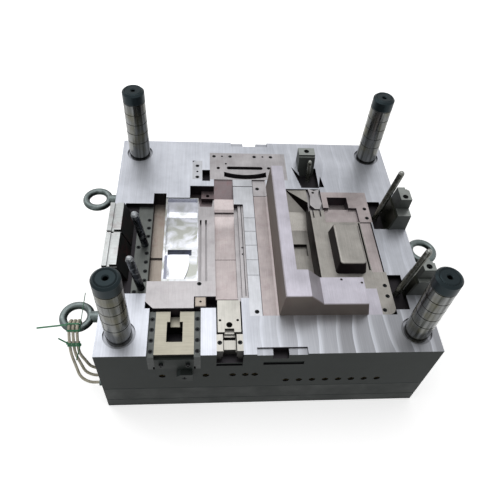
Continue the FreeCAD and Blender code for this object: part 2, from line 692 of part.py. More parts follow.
def make_manifold_plate():
    body = new_body("manifold_plate", "clamp_thickness")
    slab = add(body, "slab", XY, "0", "manifold_thickness", plate_outline())
    dress(body, "Chamfer", "edge_break", slab, "plate_chamfer", level_edge("manifold_thickness"))
    take(body, "manifold_pocket", XY, "0", RUNNER_TOP,
         [rectangle("-runner_length / 2 - runner_air", "runner_length / 2 + runner_air",
                    "-runner_width / 2 - runner_air", "runner_width / 2 + runner_air")])
    take(body, "nozzle_bores", XY, RUNNER_TOP, "manifold_thickness",
         circles=[(x, "0", "nozzle_diameter") for x in ("nozzle_left_x", "nozzle_right_x")])
    take(body, "gland_holes", YZ, f"-{HALF_LENGTH}", f"-{HALF_LENGTH} + gland_thread",
         circles=[(f"gland_front_y + {step} * gland_pitch", "manifold_thickness / 2",
                   "gland_diameter - 8") for step in range(3)])
    take(body, "screw_shanks", XY, "0", "manifold_thickness",
         circles=[(x, y, "plate_screw_diameter") for x, y in PLATE_SCREWS])


# each insert's outline at the parting face, low to high along X and Y
TILES = {
    "left_trough_insert": ("trough_left", POLISHED_LEFT, "lock_back", "trough_back"),
    "polished_insert": (POLISHED_LEFT, RIB_LEFT, "lock_back", "polished_back"),
    "ribbed_insert": (RIB_LEFT, PANEL_LEFT, "lock_back", "polished_back"),
    "panel_insert_front": (PANEL_LEFT, SIDE_LEFT, "panel_front", "panel_split"),
    "panel_insert_back": (PANEL_LEFT, SIDE_LEFT, "panel_split", "panel_back"),
    "side_strip": (SIDE_LEFT, PARTING_LEFT, "panel_front", "parting_strip_turn"),
    "parting_strip": (PARTING_LEFT, PARTING_RIGHT, "core_front", "back_front"),
    "shutoff_strip": (SHUTOFF_LEFT, BAR_LEFT, "core_front", "shutoff_back"),
    "end_pad": (SHUTOFF_LEFT, BAR_LEFT, "shutoff_back + seam", "back_front"),
    "core_bar": (BAR_LEFT, BAR_RIGHT, "core_front", "bar_back"),
    "core_foot": (BAR_RIGHT, BED_RIGHT, "core_front", FOOT_BACK),
    "trench_insert": (BAR_RIGHT, RIDGE_LEFT, FOOT_BACK, "trench_back"),
    "ridge_insert": (RIDGE_LEFT, RIDGE_RIGHT, FOOT_BACK, "ridge_back"),
    "boss_insert": (RIDGE_RIGHT, BED_RIGHT, FOOT_BACK, "right_middle_back"),
    "right_strip": (BED_RIGHT, STRIP_RIGHT, "right_middle_front", "right_middle_back"),
    "right_front_insert": (BED_RIGHT, "right_front_edge", "core_front", "right_middle_front"),
    "right_back_insert": (RIDGE_RIGHT, "right_front_edge", "right_middle_back", "right_back_back"),
    "star_core": (RIDGE_LEFT, RIDGE_RIGHT, "ridge_back", "trench_back"),
    "slotted_back_insert": ("back_left", "back_right", "back_front", "back_back"),
    "sloping_insert": (PANEL_LEFT, SIDE_LEFT, "panel_back", "back_front"),
    "stepped_insert": ("step_left", PANEL_LEFT, "polished_back", "step_back"),
}

# pockets that reach the full insert depth but are wider than one insert
WIDE_PART = (SIDE_LEFT, PARTING_LEFT, "parting_strip_turn", "back_front")
OPEN_JOINTS = {
    "long_joint": (PARTING_RIGHT, SHUTOFF_LEFT, "core_front", "back_front"),
    "cross_joint": (SHUTOFF_LEFT, BAR_LEFT, "shutoff_back", "shutoff_back + seam"),
}


def tile(name, base="-insert_depth", top="0"):
    """An insert's body with its plain block."""
    body = new_body(name, PARTING)
    block = add(body, "block", XY, base, top, [rectangle(*TILES[name])])
    return body, block


def pin_foot(name):
    """Centre of an angle pin's lower end, below the parting face."""
    diameter, lean, axis, x, y, length = PINS[name]
    sideways = f"sin({lean}) * pin_seat" if axis.y else "0"
    onward = f"sin({lean}) * pin_seat" if axis.x else "0"
    return f"{x} - {sideways}", f"{y} + {onward}", f"-cos({lean}) * pin_seat"


def drill_for_pin(body, name):
    diameter, lean, axis, x, y, length = PINS[name]
    drill(body, f"pin_hole_{name}", diameter, "2 * pin_seat", pin_foot(name), axis, lean)


def make_cavity_plate():
    body = new_body("cavity_plate", PARTING)
    add(body, "slab", XY, "-cavity_thickness", "0", plate_outline())
    for name, limits in list(TILES.items()) + [("wide_part", WIDE_PART)] + list(OPEN_JOINTS.items()):
        take(body, name + "_pocket", XY, "-insert_depth", "0", [rectangle(*limits)])
    for name, limits, floor in (
            ("left_slide_pocket", ("left_pocket_left", "trough_left", "left_pocket_front",
                                   "left_pocket_back"), "slide_floor"),
            ("left_gib_pocket", (LEFT_GIB_LEFT, "trough_left", "left_pocket_front",
                                 "left_pocket_back"), "slide_floor + gib_thickness"),
            ("back_gib_pocket", ("gib_left", GIB_RIGHT, "back_front", "gib_back"), "gib_thickness"),
            ("lock_pocket", ("trough_left", PANEL_LEFT, "lock_front", "lock_back"), "lock_thickness"),
            ("corner_pocket", (GIB_RIGHT, "back_left", "corner_back - 58", "corner_back"), "corner_floor"),
            ("large_channel", ("slide_left", SLIDE_RIGHT, f"-{HALF_WIDTH}", "lock_front"),
             "slide_top + slide_height"),
            ("small_channel", (PANEL_LEFT, MINI_RIGHT, f"-{HALF_WIDTH}", "panel_front"), "mini_depth"),
            ("right_front_slide_pocket", ("right_front_edge", "right_front_edge + right_pocket_width",
                                          "pin_right_front_y - right_pocket_length / 2",
                                          "pin_right_front_y + right_pocket_length / 2"), "slide_floor"),
            ("right_back_slide_pocket", ("right_front_edge", "right_front_edge + right_pocket_width",
                                         "pin_right_back_y - right_pocket_length / 2",
                                         "pin_right_back_y + right_pocket_length / 2"), "slide_floor"),
            ("back_slide_pocket", ("back_pocket_left", BACK_POCKET_RIGHT, "back_pocket_front",
                                   "heel_back_front"), "back_pocket_depth"),
            ("left_front_heel_seat", (f"-{HALF_LENGTH}", f"-{HALF_LENGTH} + heel_left_foot",
                                      *LEFT_HEELS["left_front"]), "heel_left_seat"),
            ("left_back_heel_seat", (f"-{HALF_LENGTH}", f"-{HALF_LENGTH} + heel_left_foot",
                                     *LEFT_HEELS["left_back"]), "heel_left_seat"),
            ("back_heel_seat", ("heel_back_left", BACK_HEEL_RIGHT, "heel_back_front - heel_back_slope",
                                "heel_back_front + heel_back_length"), "back_pocket_depth"),
            ("front_interlock", ("interlock_left", "interlock_left + interlock_width", f"-{HALF_WIDTH}",
                                 f"-{HALF_WIDTH} + interlock_length"), "interlock_depth"),
            ("front_tongue", ("0", "tongue_width", f"-{HALF_WIDTH}", f"-{HALF_WIDTH} + interlock_length"),
             "tongue_depth"),
            ("back_interlock", ("2 * interlock_left", "interlock_width / 3",
                                f"{HALF_WIDTH} - interlock_length", HALF_WIDTH), "interlock_depth"),
            ("back_tongue", ("-tongue_width", "5", f"{HALF_WIDTH} - interlock_length", HALF_WIDTH),
             "tongue_depth")):
        take(body, name, XY, f"-({floor})", "0", [rectangle(*limits)])
    for name, (front, step, main) in RIGHT_HEELS.items():
        take(body, name + "_heel_seat", XY, "-heel_seat", "0",
             [rectangle(f"{HALF_LENGTH} - heel_right_foot", HALF_LENGTH, front,
                        f"{front} + {step} + {main}")])
    take(body, "slide_lead_ins", XY, "-slide_floor", "0",
         [[("back_pocket_left - 26", "heel_back_front + 8"), ("back_pocket_left", "back_pocket_front + 6"),
           ("back_pocket_left", "heel_back_front - 40")],
          [(BACK_POCKET_RIGHT, "back_pocket_front + 4"), (f"{BACK_POCKET_RIGHT} + 20", "back_pocket_front + 4"),
           (f"{BACK_POCKET_RIGHT} + 12", "back_pocket_front + 64")]])
    take(body, "ledges", XZ, f"-{HALF_WIDTH}", f"-{HALF_WIDTH} + ledge_depth",
         [rectangle(PANEL_LEFT, MINI_RIGHT, "-mini_depth - ledge_height", "-mini_depth - 4"),
          rectangle("-24", "-24 + 2.6 * tongue_width", "-ledge_drop - ledge_height", "-ledge_drop")])
    take(body, "water_ports", XZ, f"-{HALF_WIDTH}", f"-{HALF_WIDTH} + port_depth",
         circles=[(x, f"-({drop})", "port_diameter") for x, drop in PORTS])
    take(body, "pillar_bores", XY, "-cavity_thickness", "0",
         circles=[(x, y, "pillar_diameter") for name, x, y in pillar_places()])
    take(body, "pillar_reliefs", XY, "-pillar_relief_depth", "0",
         circles=[(x, y, "pillar_diameter + 2 * pillar_relief") for name, x, y in pillar_places()])
    take(body, "pillar_seats", XY, "-cavity_thickness", "-cavity_thickness + pillar_flange_height",
         circles=[(x, y, "pillar_flange_diameter") for name, x, y in pillar_places()])
    for piece in {owner: None for owner, x, y, face in SCREWS}:
        take(body, f"tapped_holes_{piece}", XY, f"{underside(piece)} - screw_grip", underside(piece),
             circles=[(x, y, "screw_shank") for x, y, face in screw_holes(piece)])
    take(body, "heel_screw_holes", XY, "-heel_grip", "-back_pocket_depth",
         circles=[(x, y, "heel_screw_shank") for x, y, face in HEEL_SCREWS])
    take(body, "side_screw_holes", YZ, f"-{HALF_LENGTH} + heel_left_foot",
         f"-{HALF_LENGTH} + heel_screw_head_height + 1 + heel_screw_length",
         circles=[(along, f"-{SIDE_SCREW_DROP}", "heel_screw_shank") for along in SIDE_SCREWS])
    take(body, "slide_stop_hole", XY, "-slide_top - slide_height - stop_pin_height",
         "-slide_top - slide_height", circles=[("stop_pin_x", "stop_pin_y", "stop_pin_diameter")])
    take(body, "latch_screw_hole", XZ, f"-{HALF_WIDTH}", f"-{HALF_WIDTH} + 24",
         circles=[(LATCH_X, LATCH_Z, "screw_shank")])
    take(body, "plate_screw_holes", XY, "-cavity_thickness", "-cavity_thickness + plate_screw_grip",
         circles=[(x, y, "plate_screw_diameter") for x, y in PLATE_SCREWS])
    take(body, "nozzle_bores", XY, "-cavity_thickness", "-insert_depth",
         circles=[(x, "0", "nozzle_diameter") for x in ("nozzle_left_x", "nozzle_right_x")])
    for name, (side, along) in EYES.items():
        low, high = (HALF_LENGTH + " - eye_shank_length", HALF_LENGTH)
        if side < 0:
            low, high = (f"-{HALF_LENGTH}", f"-{HALF_LENGTH} + eye_shank_length")
        take(body, f"eye_hole_{name}", YZ, low, high, circles=[(along, "-eye_drop", "eye_shank")])
    for name in PINS:
        drill_for_pin(body, name)


# ---------------------------------------------------------------- guide pillars, screws, eye bolts

def make_pillar(name, x, y):
    """Shouldered pillar with oil grooves, a plain nose, a turned ring and a centre hole."""
    body = new_body(f"guide_pillar_{name}", f"{PARTING} - cavity_thickness")
    body.setExpression("Placement.Base.x", bound(x))
    body.setExpression("Placement.Base.y", bound(y))
    top = "(cavity_thickness + pillar_height)"
    radius = "(pillar_diameter / 2)"
    flange = "(pillar_flange_diameter / 2)"
    turn(body, "shaft", [
        ("0", "0"), (flange, "0"), (flange, "pillar_flange_height"), (radius, "pillar_flange_height"),
        (radius, f"{top} - pillar_nose_chamfer"), (f"{radius} - pillar_nose_chamfer", top),
        ("pillar_ring_diameter / 2 + 3", top), ("pillar_ring_diameter / 2", f"{top} - 2"),
        ("pillar_ring_diameter / 2 - 3", top), ("pillar_centre_hole / 2 + 3", top),
        ("pillar_centre_hole / 2", f"{top} - 3"), ("pillar_centre_hole / 2", f"{top} - 20"),
        ("0", f"{top} - 20 - pillar_centre_hole / 3")])
    groove_top = f"({top} - pillar_head_height)"
    profile = sketch(body, "oil_groove_sketch", XZ, "0",
                     [rectangle(f"{radius} - pillar_groove_depth", f"{radius} + 1",
                                f"{groove_top} - pillar_groove_width", groove_top)])
    groove = body.newObject("PartDesign::Groove", "oil_groove")
    groove.Profile = profile
    groove.ReferenceAxis = (profile, ["V_Axis"])
    groove.Angle = 360
    doc.recompute()
    row = body.newObject("PartDesign::LinearPattern", "oil_grooves")
    row.Originals = [groove]
    row.Direction = (plane(body, "Z_Axis"), [""])
    row.Reversed = True
    row.setExpression("Length", bound("(pillar_groove_count - 1) * pillar_groove_pitch"))
    row.setExpression("Occurrences", bound("pillar_groove_count"))
    body.Tip = row


def make_eye_bolt(name, side, along):
    """Forged eye on a collar; its axis is horizontal and the eye lies flat."""
    ring = doc.addObject("Part::Torus", f"eye_ring_{name}")
    ring.setExpression("Radius1", bound("(eye_inside + eye_wire) / 2"))
    ring.setExpression("Radius2", bound("eye_wire / 2"))
    ring.setExpression("Placement.Base.x", bound(f"{side} * ({HALF_LENGTH} + eye_reach)"))
    pieces = [ring]
    for step, diameter, start, length in (
            ("collar", "eye_collar", "0", "eye_collar_height"),
            ("neck", "eye_shank + 6", "eye_collar_height", "eye_reach - eye_collar_height"
             " - eye_inside / 2 - eye_wire / 2"),
            ("shank", "eye_shank", "-eye_shank_length", "eye_shank_length")):
        round_bar = doc.addObject("Part::Cylinder", f"eye_{step}_{name}")
        round_bar.setExpression("Radius", bound(f"({diameter}) / 2"))
        round_bar.setExpression("Height", bound(length))
        round_bar.Placement = Placement(Vector(), Rotation(Vector(0, side, 0), 90))
        round_bar.setExpression("Placement.Base.x", bound(f"{side} * ({HALF_LENGTH} + {start})"))
        pieces.append(round_bar)
    eye = doc.addObject("Part::MultiFuse", f"eye_bolt_{name}")
    eye.Shapes = pieces
    eye.setExpression("Placement.Base.y", bound(along))
    eye.setExpression("Placement.Base.z", bound(f"{PARTING} - eye_drop"))
    return eye


def hexagon(across_flats, low, high):
    """A hexagonal socket's space between two levels."""
    corner = across_flats / math.sqrt(3)
    corners = [Vector(corner * math.cos(math.pi / 3 * step), corner * math.sin(math.pi / 3 * step), low)
               for step in range(7)]
    return Part.Face(Part.makePolygon(corners)).extrude(Vector(0, 0, high - low))


def socket_screw(head, head_height, shank, length):
    """A socket-head screw, head up, with the underside of its head at the origin."""
    screw = Part.makeCylinder(head / 2, head_height).fuse(
        Part.makeCylinder(shank / 2, length, Vector(0, 0, -length)))
    return screw.removeSplitter().cut(hexagon(head * 0.5, head_height * 0.4, head_height))


def make_group(label, solids):
    """Like pieces in one node, each a separate solid."""
    group = node(doc.addObject("Part::Feature", label))
    group.Label = label
    group.Shape = Part.makeCompound(solids)
    return group


def join(label, pieces):
    """Bodies kept as separate solids of one piece group."""
    group = node(doc.addObject("Part::Compound", label))
    group.Label = label
    group.Links = pieces
    return group


def put(solid, x, y, z, axis=Vector(0, 0, 1), angle=0):
    copy = solid.copy()
    copy.Placement = Placement(Vector(number(x), number(y), number(z)), Rotation(axis, angle))
    return copy


def make_insert_screws():
    """One size of screw, each long enough to reach the plate below its piece."""
    screws = []
    for piece, x, y, face in SCREWS:
        length = number(f"{face} - screw_sink - {underside(piece)} + screw_grip")
        screw = socket_screw(number("screw_head"), number("screw_head_height"),
                             number("screw_shank"), length)
        screws.append(put(screw, x, y, f"{PARTING} + {face} - screw_sink"))
    latch = socket_screw(number("screw_head"), number("screw_head_height"), number("screw_shank"),
                         number("latch_thickness - screw_sink") + 24)
    screws.append(put(latch, LATCH_X, f"-{HALF_WIDTH} - latch_thickness + screw_sink",
                      f"{PARTING} + {LATCH_Z}", Vector(1, 0, 0), 90))
    make_group("insert_screws", screws)


def make_plate_screws():
    screw = socket_screw(number("plate_screw_head"), number("plate_screw_head_height"),
                         number("plate_screw_diameter"),
                         number(f"clamp_thickness + manifold_thickness + plate_screw_grip"
                                f" - plate_screw_head_height - 1"))
    make_group("plate_screws", [put(screw, x, y, "plate_screw_head_height + 1", Vector(1, 0, 0), 180)
                                for x, y in PLATE_SCREWS])


def make_water_plugs():
    """Socket plugs seated at the bottom of the water ports."""
    length = number("port_depth - port_recess")
    radius = number("port_diameter / 2")
    plug = Part.makeCylinder(radius, length).cut(
        hexagon(number("port_plug_diameter") * 0.6, length - 6, length))
    make_group("water_port_plugs", [put(plug, x, f"-{HALF_WIDTH} + port_depth", f"{PARTING} - ({drop})",
                                        Vector(1, 0, 0), 90) for x, drop in PORTS])


def make_angle_pin(name, diameter, lean, axis, x, y, length):
    """Hardened pin with a rounded nose, pressed into the plate and leaning outwards."""
    body = new_body(f"angle_pin_{name}", f"{PARTING} - cos({lean}) * pin_seat", alone=name == "back")
    radius = f"({diameter} / 2)"
    top = f"(pin_seat + {length})"
    turn(body, "shaft", [
        ("0", "0"), (radius, "0"), (radius, f"{top} - {radius} * 0.9"),
        (f"{radius} * 0.72", f"{top} - {radius} * 0.25"), (f"{radius} * 0.35", top), ("0", top)])
    body.Placement = Placement(Vector(), Rotation(axis, number(lean)))
    body.setExpression("Placement.Rotation.Angle", bound(f"({lean}) * 1 deg"))
    for letter, formula in zip("xy", pin_foot(name)):
        body.setExpression(f"Placement.Base.{letter}", bound(formula))
    return body


# ---------------------------------------------------------------- heel blocks

def wear_screws(front, step, main):
    """Places on a heel's leaning face: x, y, z."""
    middle = f"({front} + ({step} + {main}) / 2)"
    for shift, height in (("-14", "2"), ("14", "30")):
        yield (f"{WEAR_FOOT} + ({height} + slide_floor) * tan({WEAR_LEAN})", f"{middle} + {shift}", height)


def make_left_heel(name, front, back):
    """Wedge block with an oil groove along its top and a leaning inner face."""
    body = new_body(f"heel_block_{name}", PARTING)
    outer = f"-{HALF_LENGTH}"
    groove = f"({outer} + heel_left_top / 3)"
    add(body, "wedge", XZ, front, back, [[
        (outer, "-heel_left_seat"), (f"{outer} + heel_left_foot", "-heel_left_seat"),
        (f"{outer} + heel_left_foot", "-slide_floor"),
        (f"{outer} + heel_left_top", "heel_left_height"),
        (f"{groove} + heel_groove_width", "heel_left_height"),
        (f"{groove} + heel_groove_width", "heel_left_height - heel_groove_depth"),
        (groove, "heel_left_height - heel_groove_depth"), (groove, "heel_left_height"),
        (outer, "heel_left_height")]])
    take(body, "end_step", XY, "heel_left_height - 2 * heel_groove_depth", "heel_left_height",
         [rectangle(f"{groove} + heel_groove_width", f"{outer} + heel_left_top + 2", front, f"{front} + 4")])
    places = [(place, f"-{SIDE_SCREW_DROP}") for place in (f"{front} + 28", f"{back} - 28")]
    take(body, "screw_heads", YZ, outer, f"{outer} + heel_screw_head_height + 1",
         circles=[(along, drop, "heel_screw_head + 2 * screw_gap") for along, drop in places])
    take(body, "screw_holes", YZ, f"{outer} + heel_screw_head_height + 1", f"{outer} + heel_left_foot",
         circles=[(along, drop, "heel_screw_shank") for along, drop in places])


def make_right_heel(name, front, step, main):
    """Tall wedge block with a low step in front and a clamp notch at the top."""
    body = new_body(f"heel_block_{name}", PARTING)
    inner_top = f"({HALF_LENGTH} - heel_right_top)"
    low_top = "(heel_right_height - heel_right_step)"
    low_inner = f"({WEAR_FOOT} + ({low_top} + slide_floor) * tan({WEAR_LEAN}))"
    add(body, "wedge", XZ, f"{front} + {step}", f"{front} + {step} + {main}", [[
        (f"{WEAR_FOOT} - wear_thickness", "-heel_seat"), (HALF_LENGTH, "-heel_seat"),
        (HALF_LENGTH, "heel_right_height"), (inner_top, "heel_right_height"),
        (WEAR_FOOT, "-slide_floor"), (f"{WEAR_FOOT} - wear_thickness", "-slide_floor")]])
    add(body, "low_step", XZ, front, f"{front} + {step}", [[
        (f"{WEAR_FOOT} - wear_thickness", "-heel_seat"), (HALF_LENGTH, "-heel_seat"),
        (HALF_LENGTH, low_top), (low_inner, low_top),
        (WEAR_FOOT, "-slide_floor"), (f"{WEAR_FOOT} - wear_thickness", "-slide_floor")]])
    take(body, "top_notch", XY, "heel_right_height - 9", "heel_right_height",
         [rectangle(f"{HALF_LENGTH} - 12", HALF_LENGTH, f"{front} + {step} + {main} - 14",
                    f"{front} + {step} + {main}")])
    place = (f"{HALF_LENGTH} - 20", f"{front} + {step} + 15")
    take(body, "screw_head", XY, "heel_right_height - heel_screw_head_height - 6", "heel_right_height",
         circles=[(*place, "heel_screw_head + 2 * screw_gap")])
    take(body, "screw_hole", XY, "-heel_seat", "heel_right_height - heel_screw_head_height - 6",
         circles=[(*place, "heel_screw_shank")])
    for count, (x, y, z) in enumerate(wear_screws(front, step, main), start=1):
        drill(body, f"wear_screw_hole_{count}", "wear_screw_shank", "2 * wear_screw_length",
              (f"{x} + wear_screw_length * cos({WEAR_LEAN})", y,
               f"{z} - wear_screw_length * sin({WEAR_LEAN})"), Vector(0, 1, 0), f"-(90 - {WEAR_LEAN})")


def make_wear_plate(name, front, step, main):
    """Hardened plate on the leaning face of a right heel."""
    top = "(heel_right_height - heel_right_step - 6)"
    inner = f"({WEAR_FOOT} + ({top} + slide_floor) * tan({WEAR_LEAN}))"
    thick = f"(wear_thickness * cos({WEAR_LEAN}))"
    body = new_body(f"wear_plate_{name}", PARTING, alone=False)
    add(body, "plate", XZ, front, f"{front} + {step} + {main}", [[
        (WEAR_FOOT, "-slide_floor"), (inner, top), (f"{inner} - wear_thickness", top),
        (f"{WEAR_FOOT} - wear_thickness", "-slide_floor")]])
    for count, (x, y, z) in enumerate(wear_screws(front, step, main), start=1):
        angle = f"-(90 - {WEAR_LEAN})"
        drill(body, f"shank_hole_{count}", "wear_screw_shank", "4 * wear_thickness",
              (f"{x} + wear_thickness", y, f"{z} - wear_thickness * tan({WEAR_LEAN})"),
              Vector(0, 1, 0), angle)
        drill(body, f"head_hole_{count}", "wear_screw_head + 2 * screw_gap", "2 * wear_thickness",
              (f"{x} - {thick} / 2 * cos({WEAR_LEAN})", y, f"{z} + {thick} / 2 * sin({WEAR_LEAN})"),
              Vector(0, 1, 0), angle)
    return body


def make_back_heel():
    body = new_body("heel_block_back", PARTING)
    front = "heel_back_front"
    add(body, "wedge", YZ, "heel_back_left", BACK_HEEL_RIGHT, [[
        (f"{front} - heel_back_slope", "-back_pocket_depth"),
        (f"{front} + heel_back_length", "-back_pocket_depth"),
        (f"{front} + heel_back_length", "heel_back_height"), (f"{front} + 7", "heel_back_height"),
        (f"{front} + 7", "heel_back_height - 6"), (front, "heel_back_height - 6")]])
    x, y, face = HEEL_SCREWS[-1]
    take(body, "screw_head", XY, "heel_back_height - heel_screw_head_height - 6", "heel_back_height",
         circles=[(x, y, "heel_screw_head + 2 * screw_gap")])
    take(body, "screw_hole", XY, "-back_pocket_depth", "heel_back_height - heel_screw_head_height - 6",
         circles=[(x, y, "heel_screw_shank")])


def make_heel_screws():
    head, height = number("heel_screw_head"), number("heel_screw_head_height")
    shank = number("heel_screw_shank")
    screws = []
    for x, y, face in HEEL_SCREWS:
        screw = socket_screw(head, height, shank, number(f"{face} - heel_screw_head_height - 6 + heel_grip"))
        screws.append(put(screw, x, y, f"{PARTING} + {face} - heel_screw_head_height - 6"))
    side = socket_screw(head, height, shank, number("heel_screw_length"))
    for along in SIDE_SCREWS:
        screws.append(put(side, f"-{HALF_LENGTH} + heel_screw_head_height + 1", along,
                          f"{PARTING} - {SIDE_SCREW_DROP}", Vector(0, 1, 0), -90))
    lean = number(WEAR_LEAN)
    sink = number(f"wear_thickness * cos({WEAR_LEAN}) / 2")
    screw = socket_screw(number("wear_screw_head"), sink - 0.5, number("wear_screw_shank"),
                         number("wear_screw_length") + sink)
    for heel in RIGHT_HEELS.values():
        for x, y, z in wear_screws(*heel):
            screws.append(put(screw, f"{x} - {sink} * cos({WEAR_LEAN})", y,
                              f"{PARTING} + {z} + {sink} * sin({WEAR_LEAN})",
                              Vector(0, 1, 0), lean - 90))
    make_group("heel_screws", screws)


# ---------------------------------------------------------------- inserts left of the bar

def make_left_trough():
    body, block = tile("left_trough_insert", top="-trough_floor")
    take(body, "low_floor", XY, "-trough_floor - trough_step", "-trough_floor",
         [rectangle("trough_left", POLISHED_LEFT, "lock_back", "trough_step_y")])
    take(body, "front_notch", XY, "-trough_floor - 3 * trough_step", "-trough_floor - trough_step",
         [rectangle("trough_left + 8", f"{POLISHED_LEFT} - 12", "lock_back", "lock_back + 14")])


def polished_outline():
    """The polished block from above, with its curved side."""
    left = f"({POLISHED_LEFT} + block_inset)"
    right = f"({left} + block_width)"
    return [(left, "lock_back + 14"), (f"{right} - 16", "lock_back + 14", "block_curve"),
            (right, "mouth_front"), (left, "mouth_front")]


def make_polished_insert():
    """Swept cavity: deep and curved at the back, two shelves and a mouth in front."""
    body, block = tile("polished_insert", top="-2")
    left, right = f"{POLISHED_LEFT} + block_inset", f"{RIB_LEFT} - 3"
    take(body, "cavity", YZ, left, right, [[
        ("lock_back + 10", "-polished_rim"), ("mouth_back + 22", "-polished_rim"),
        ("mouth_back + 22", "-polished_mid"), ("polished_back - 105", "-polished_mid"),
        ("polished_back - 97", "-polished_deep"), ("polished_back - 50", "-polished_deep", "polished_sweep"),
        ("polished_back - 3", "-2"), ("polished_back - 3", "5"), ("lock_back + 10", "5")]])
    take(body, "mouth", XY, "-mouth_depth", "-polished_rim",
         [rectangle(f"{left} + 8", f"{left} + block_width + 8", "mouth_front", "mouth_back")])
    take(body, "block_seat", XY, "-polished_mid", "-polished_rim", [polished_outline()])


def make_polished_block():
    """Mirror-finished block with one curved side."""
    body = new_body("polished_block", PARTING)
    left = f"({POLISHED_LEFT} + block_inset)"
    add(body, "block", XY, "-polished_mid", "-polished_rim + block_proud", [polished_outline()])
    take(body, "crown", XZ, "lock_back + 14", "mouth_front", [[
        (left, "-polished_rim"), (f"{left} + 18", "-polished_rim + block_proud"),
        (f"{left} + 18", "block_proud"), (left, "block_proud")]])


def make_ribbed_insert():
    """Two long grooves and a funnel at the back."""
    body, block = tile("ribbed_insert", top="-rib_top")
    first = f"({RIB_LEFT} + 5)"
    groove = take(body, "groove", XY, "-rib_top - rib_groove_depth", "-rib_top",
                  [rectangle(first, f"{first} + rib_groove_width", "lock_back + 8", "60")])
    doc.recompute()
    row = body.newObject("PartDesign::LinearPattern", "grooves")
    row.Originals = [groove]
    row.Direction = (plane(body, "X_Axis"), [""])
    row.setExpression("Length", bound("rib_groove_pitch"))
    row.Occurrences = 2
    body.Tip = row
    take(body, "funnel", XY, "-step_deep", "-rib_top",
         [[(f"{RIB_LEFT} + 12", "80"), (f"{PANEL_LEFT} - 14", "80"), (f"{PANEL_LEFT} - 4", "polished_back"),
           (RIB_LEFT, "polished_back")]])


def make_panels():
    """Shallow panel cavity in two lengths; the back one sweeps up in ledges."""
    body, block = tile("panel_insert_front", top="-panel_floor")
    add(body, "front_rim", XY, "-panel_floor", "-panel_floor / 3",
        [rectangle(PANEL_LEFT, SIDE_LEFT, "panel_front", "panel_front + 6")])
    body = new_body("panel_insert_back", PARTING)
    add(body, "swept_block", YZ, PANEL_LEFT, SIDE_LEFT, [[
        ("panel_split", "-insert_depth"), ("panel_back", "-insert_depth"), ("panel_back", "-2"),
        ("panel_back - 38", "-panel_floor / 2"), ("panel_back - 52", "-panel_floor / 2"),
        ("panel_back - 52", "-panel_floor * 0.7"), ("panel_back - 68", "-panel_floor * 0.7", "-panel_sweep"),
        ("panel_back - 125", "-panel_floor"), ("panel_split", "-panel_floor")]])
    take(body, "joint_line", XY, "-panel_floor - 2", "-panel_floor",
         [rectangle(PANEL_LEFT, SIDE_LEFT, "panel_split", "panel_split + 2")])


def make_side_strip():
    body, block = tile("side_strip", top="-side_strip_high")
    take(body, "low_step", XY, "-side_strip_low", "-side_strip_high",
         [rectangle(SIDE_LEFT, f"{SIDE_LEFT} + side_strip_width * 0.42", "panel_front",
                    "parting_strip_turn")])
    take(body, "line", XY, "-side_strip_low", "-side_strip_high",
         [rectangle(f"{PARTING_LEFT} - 9", f"{PARTING_LEFT} - 6", "panel_front + 12", "parting_strip_turn")])
    take(body, "vents", XY, "-side_strip_low", "-side_strip_high",
         circles=[(f"{PARTING_LEFT} - 9", y, "screw_shank") for y in ("-92", "-65")])


def make_parting_strip():
    """L-shaped strip at the parting face with vent grooves across its narrow leg."""
    body, block = tile("parting_strip")
    add(body, "wide_part", XY, "-insert_depth", "0", [rectangle(*WIDE_PART)])
    take(body, "cross_groove", XY, "-vent_width", "0",
         [rectangle(SIDE_LEFT, PARTING_RIGHT, "parting_strip_back", "parting_strip_back + vent_width")])
    vent = take(body, "vent", XY, "-vent_depth", "0",
                [rectangle(PARTING_LEFT, PARTING_RIGHT, "core_front + 147", "core_front + 147 + vent_width")])
    doc.recompute()
    row = body.newObject("PartDesign::LinearPattern", "vents")
    row.Originals = [vent]
    row.Direction = (plane(body, "Y_Axis"), [""])
    row.setExpression("Length", bound("4 * vent_pitch"))
    row.Occurrences = 5
    body.Tip = row
    bore_for_screws(body, "parting_strip", "-insert_depth")


def make_shutoff(name, edges):
    """Flat strip that turns up beside the bar."""
    body = new_body(name, PARTING)
    left, right, front, back = TILES[name]
    add(body, "strip", XZ, front, back, [[
        (left, "-insert_depth"), (right, "-insert_depth"), (right, "0"), (f"{right} - 6", "-shutoff_drop"),
        (left, "-shutoff_drop")]])
    if edges:
        bore_for_screws(body, name, "-insert_depth")


def make_core_bar():
    """Tall bar along Y with a foot that steps down along X at its front end."""
    body = new_body("core_bar", PARTING)
    top_left = f"({BAR_LEFT} + bar_lean)"
    top_right = f"({top_left} + bar_top_width)"
    bar = add(body, "bar", XZ, "core_front", "bar_back", [[
        (BAR_LEFT, "-insert_depth"), (BAR_RIGHT, "-insert_depth"), (BAR_RIGHT, "0"),
        (top_right, "bar_height"), (f"{top_left} + bar_edge", "bar_height"),
        (top_left, "bar_height - bar_edge"), (BAR_LEFT, "0")]])
    foot = add(body, "foot", XZ, "core_front", FOOT_BACK, [[
        (top_right, "-insert_depth"), (BED_RIGHT, "-insert_depth"), (BED_RIGHT, "0"),
        ("foot_end + 14", "0"), ("foot_end", "foot_height"), ("foot_low", "foot_height"), ("foot_turn", "bar_height"),
        (top_right, "bar_height")]])
    dress(body, "Chamfer", "front_edge", foot, "bar_edge * 0.7",
          lambda middle, direction: abs(middle.y - number("core_front")) < 0.01 and abs(direction.y) < 0.01
          and middle.z > 20 and abs(direction.z) < 0.99)
    take(body, "ejector_marks", XY, "foot_height - 6", "foot_height",
         circles=[("foot_low + 65", f"{FOOT_BACK} - 8", "screw_shank"),
                  ("foot_end - 8", f"{FOOT_BACK} - 20", "screw_shank")])


# ---------------------------------------------------------------- inserts right of the bar

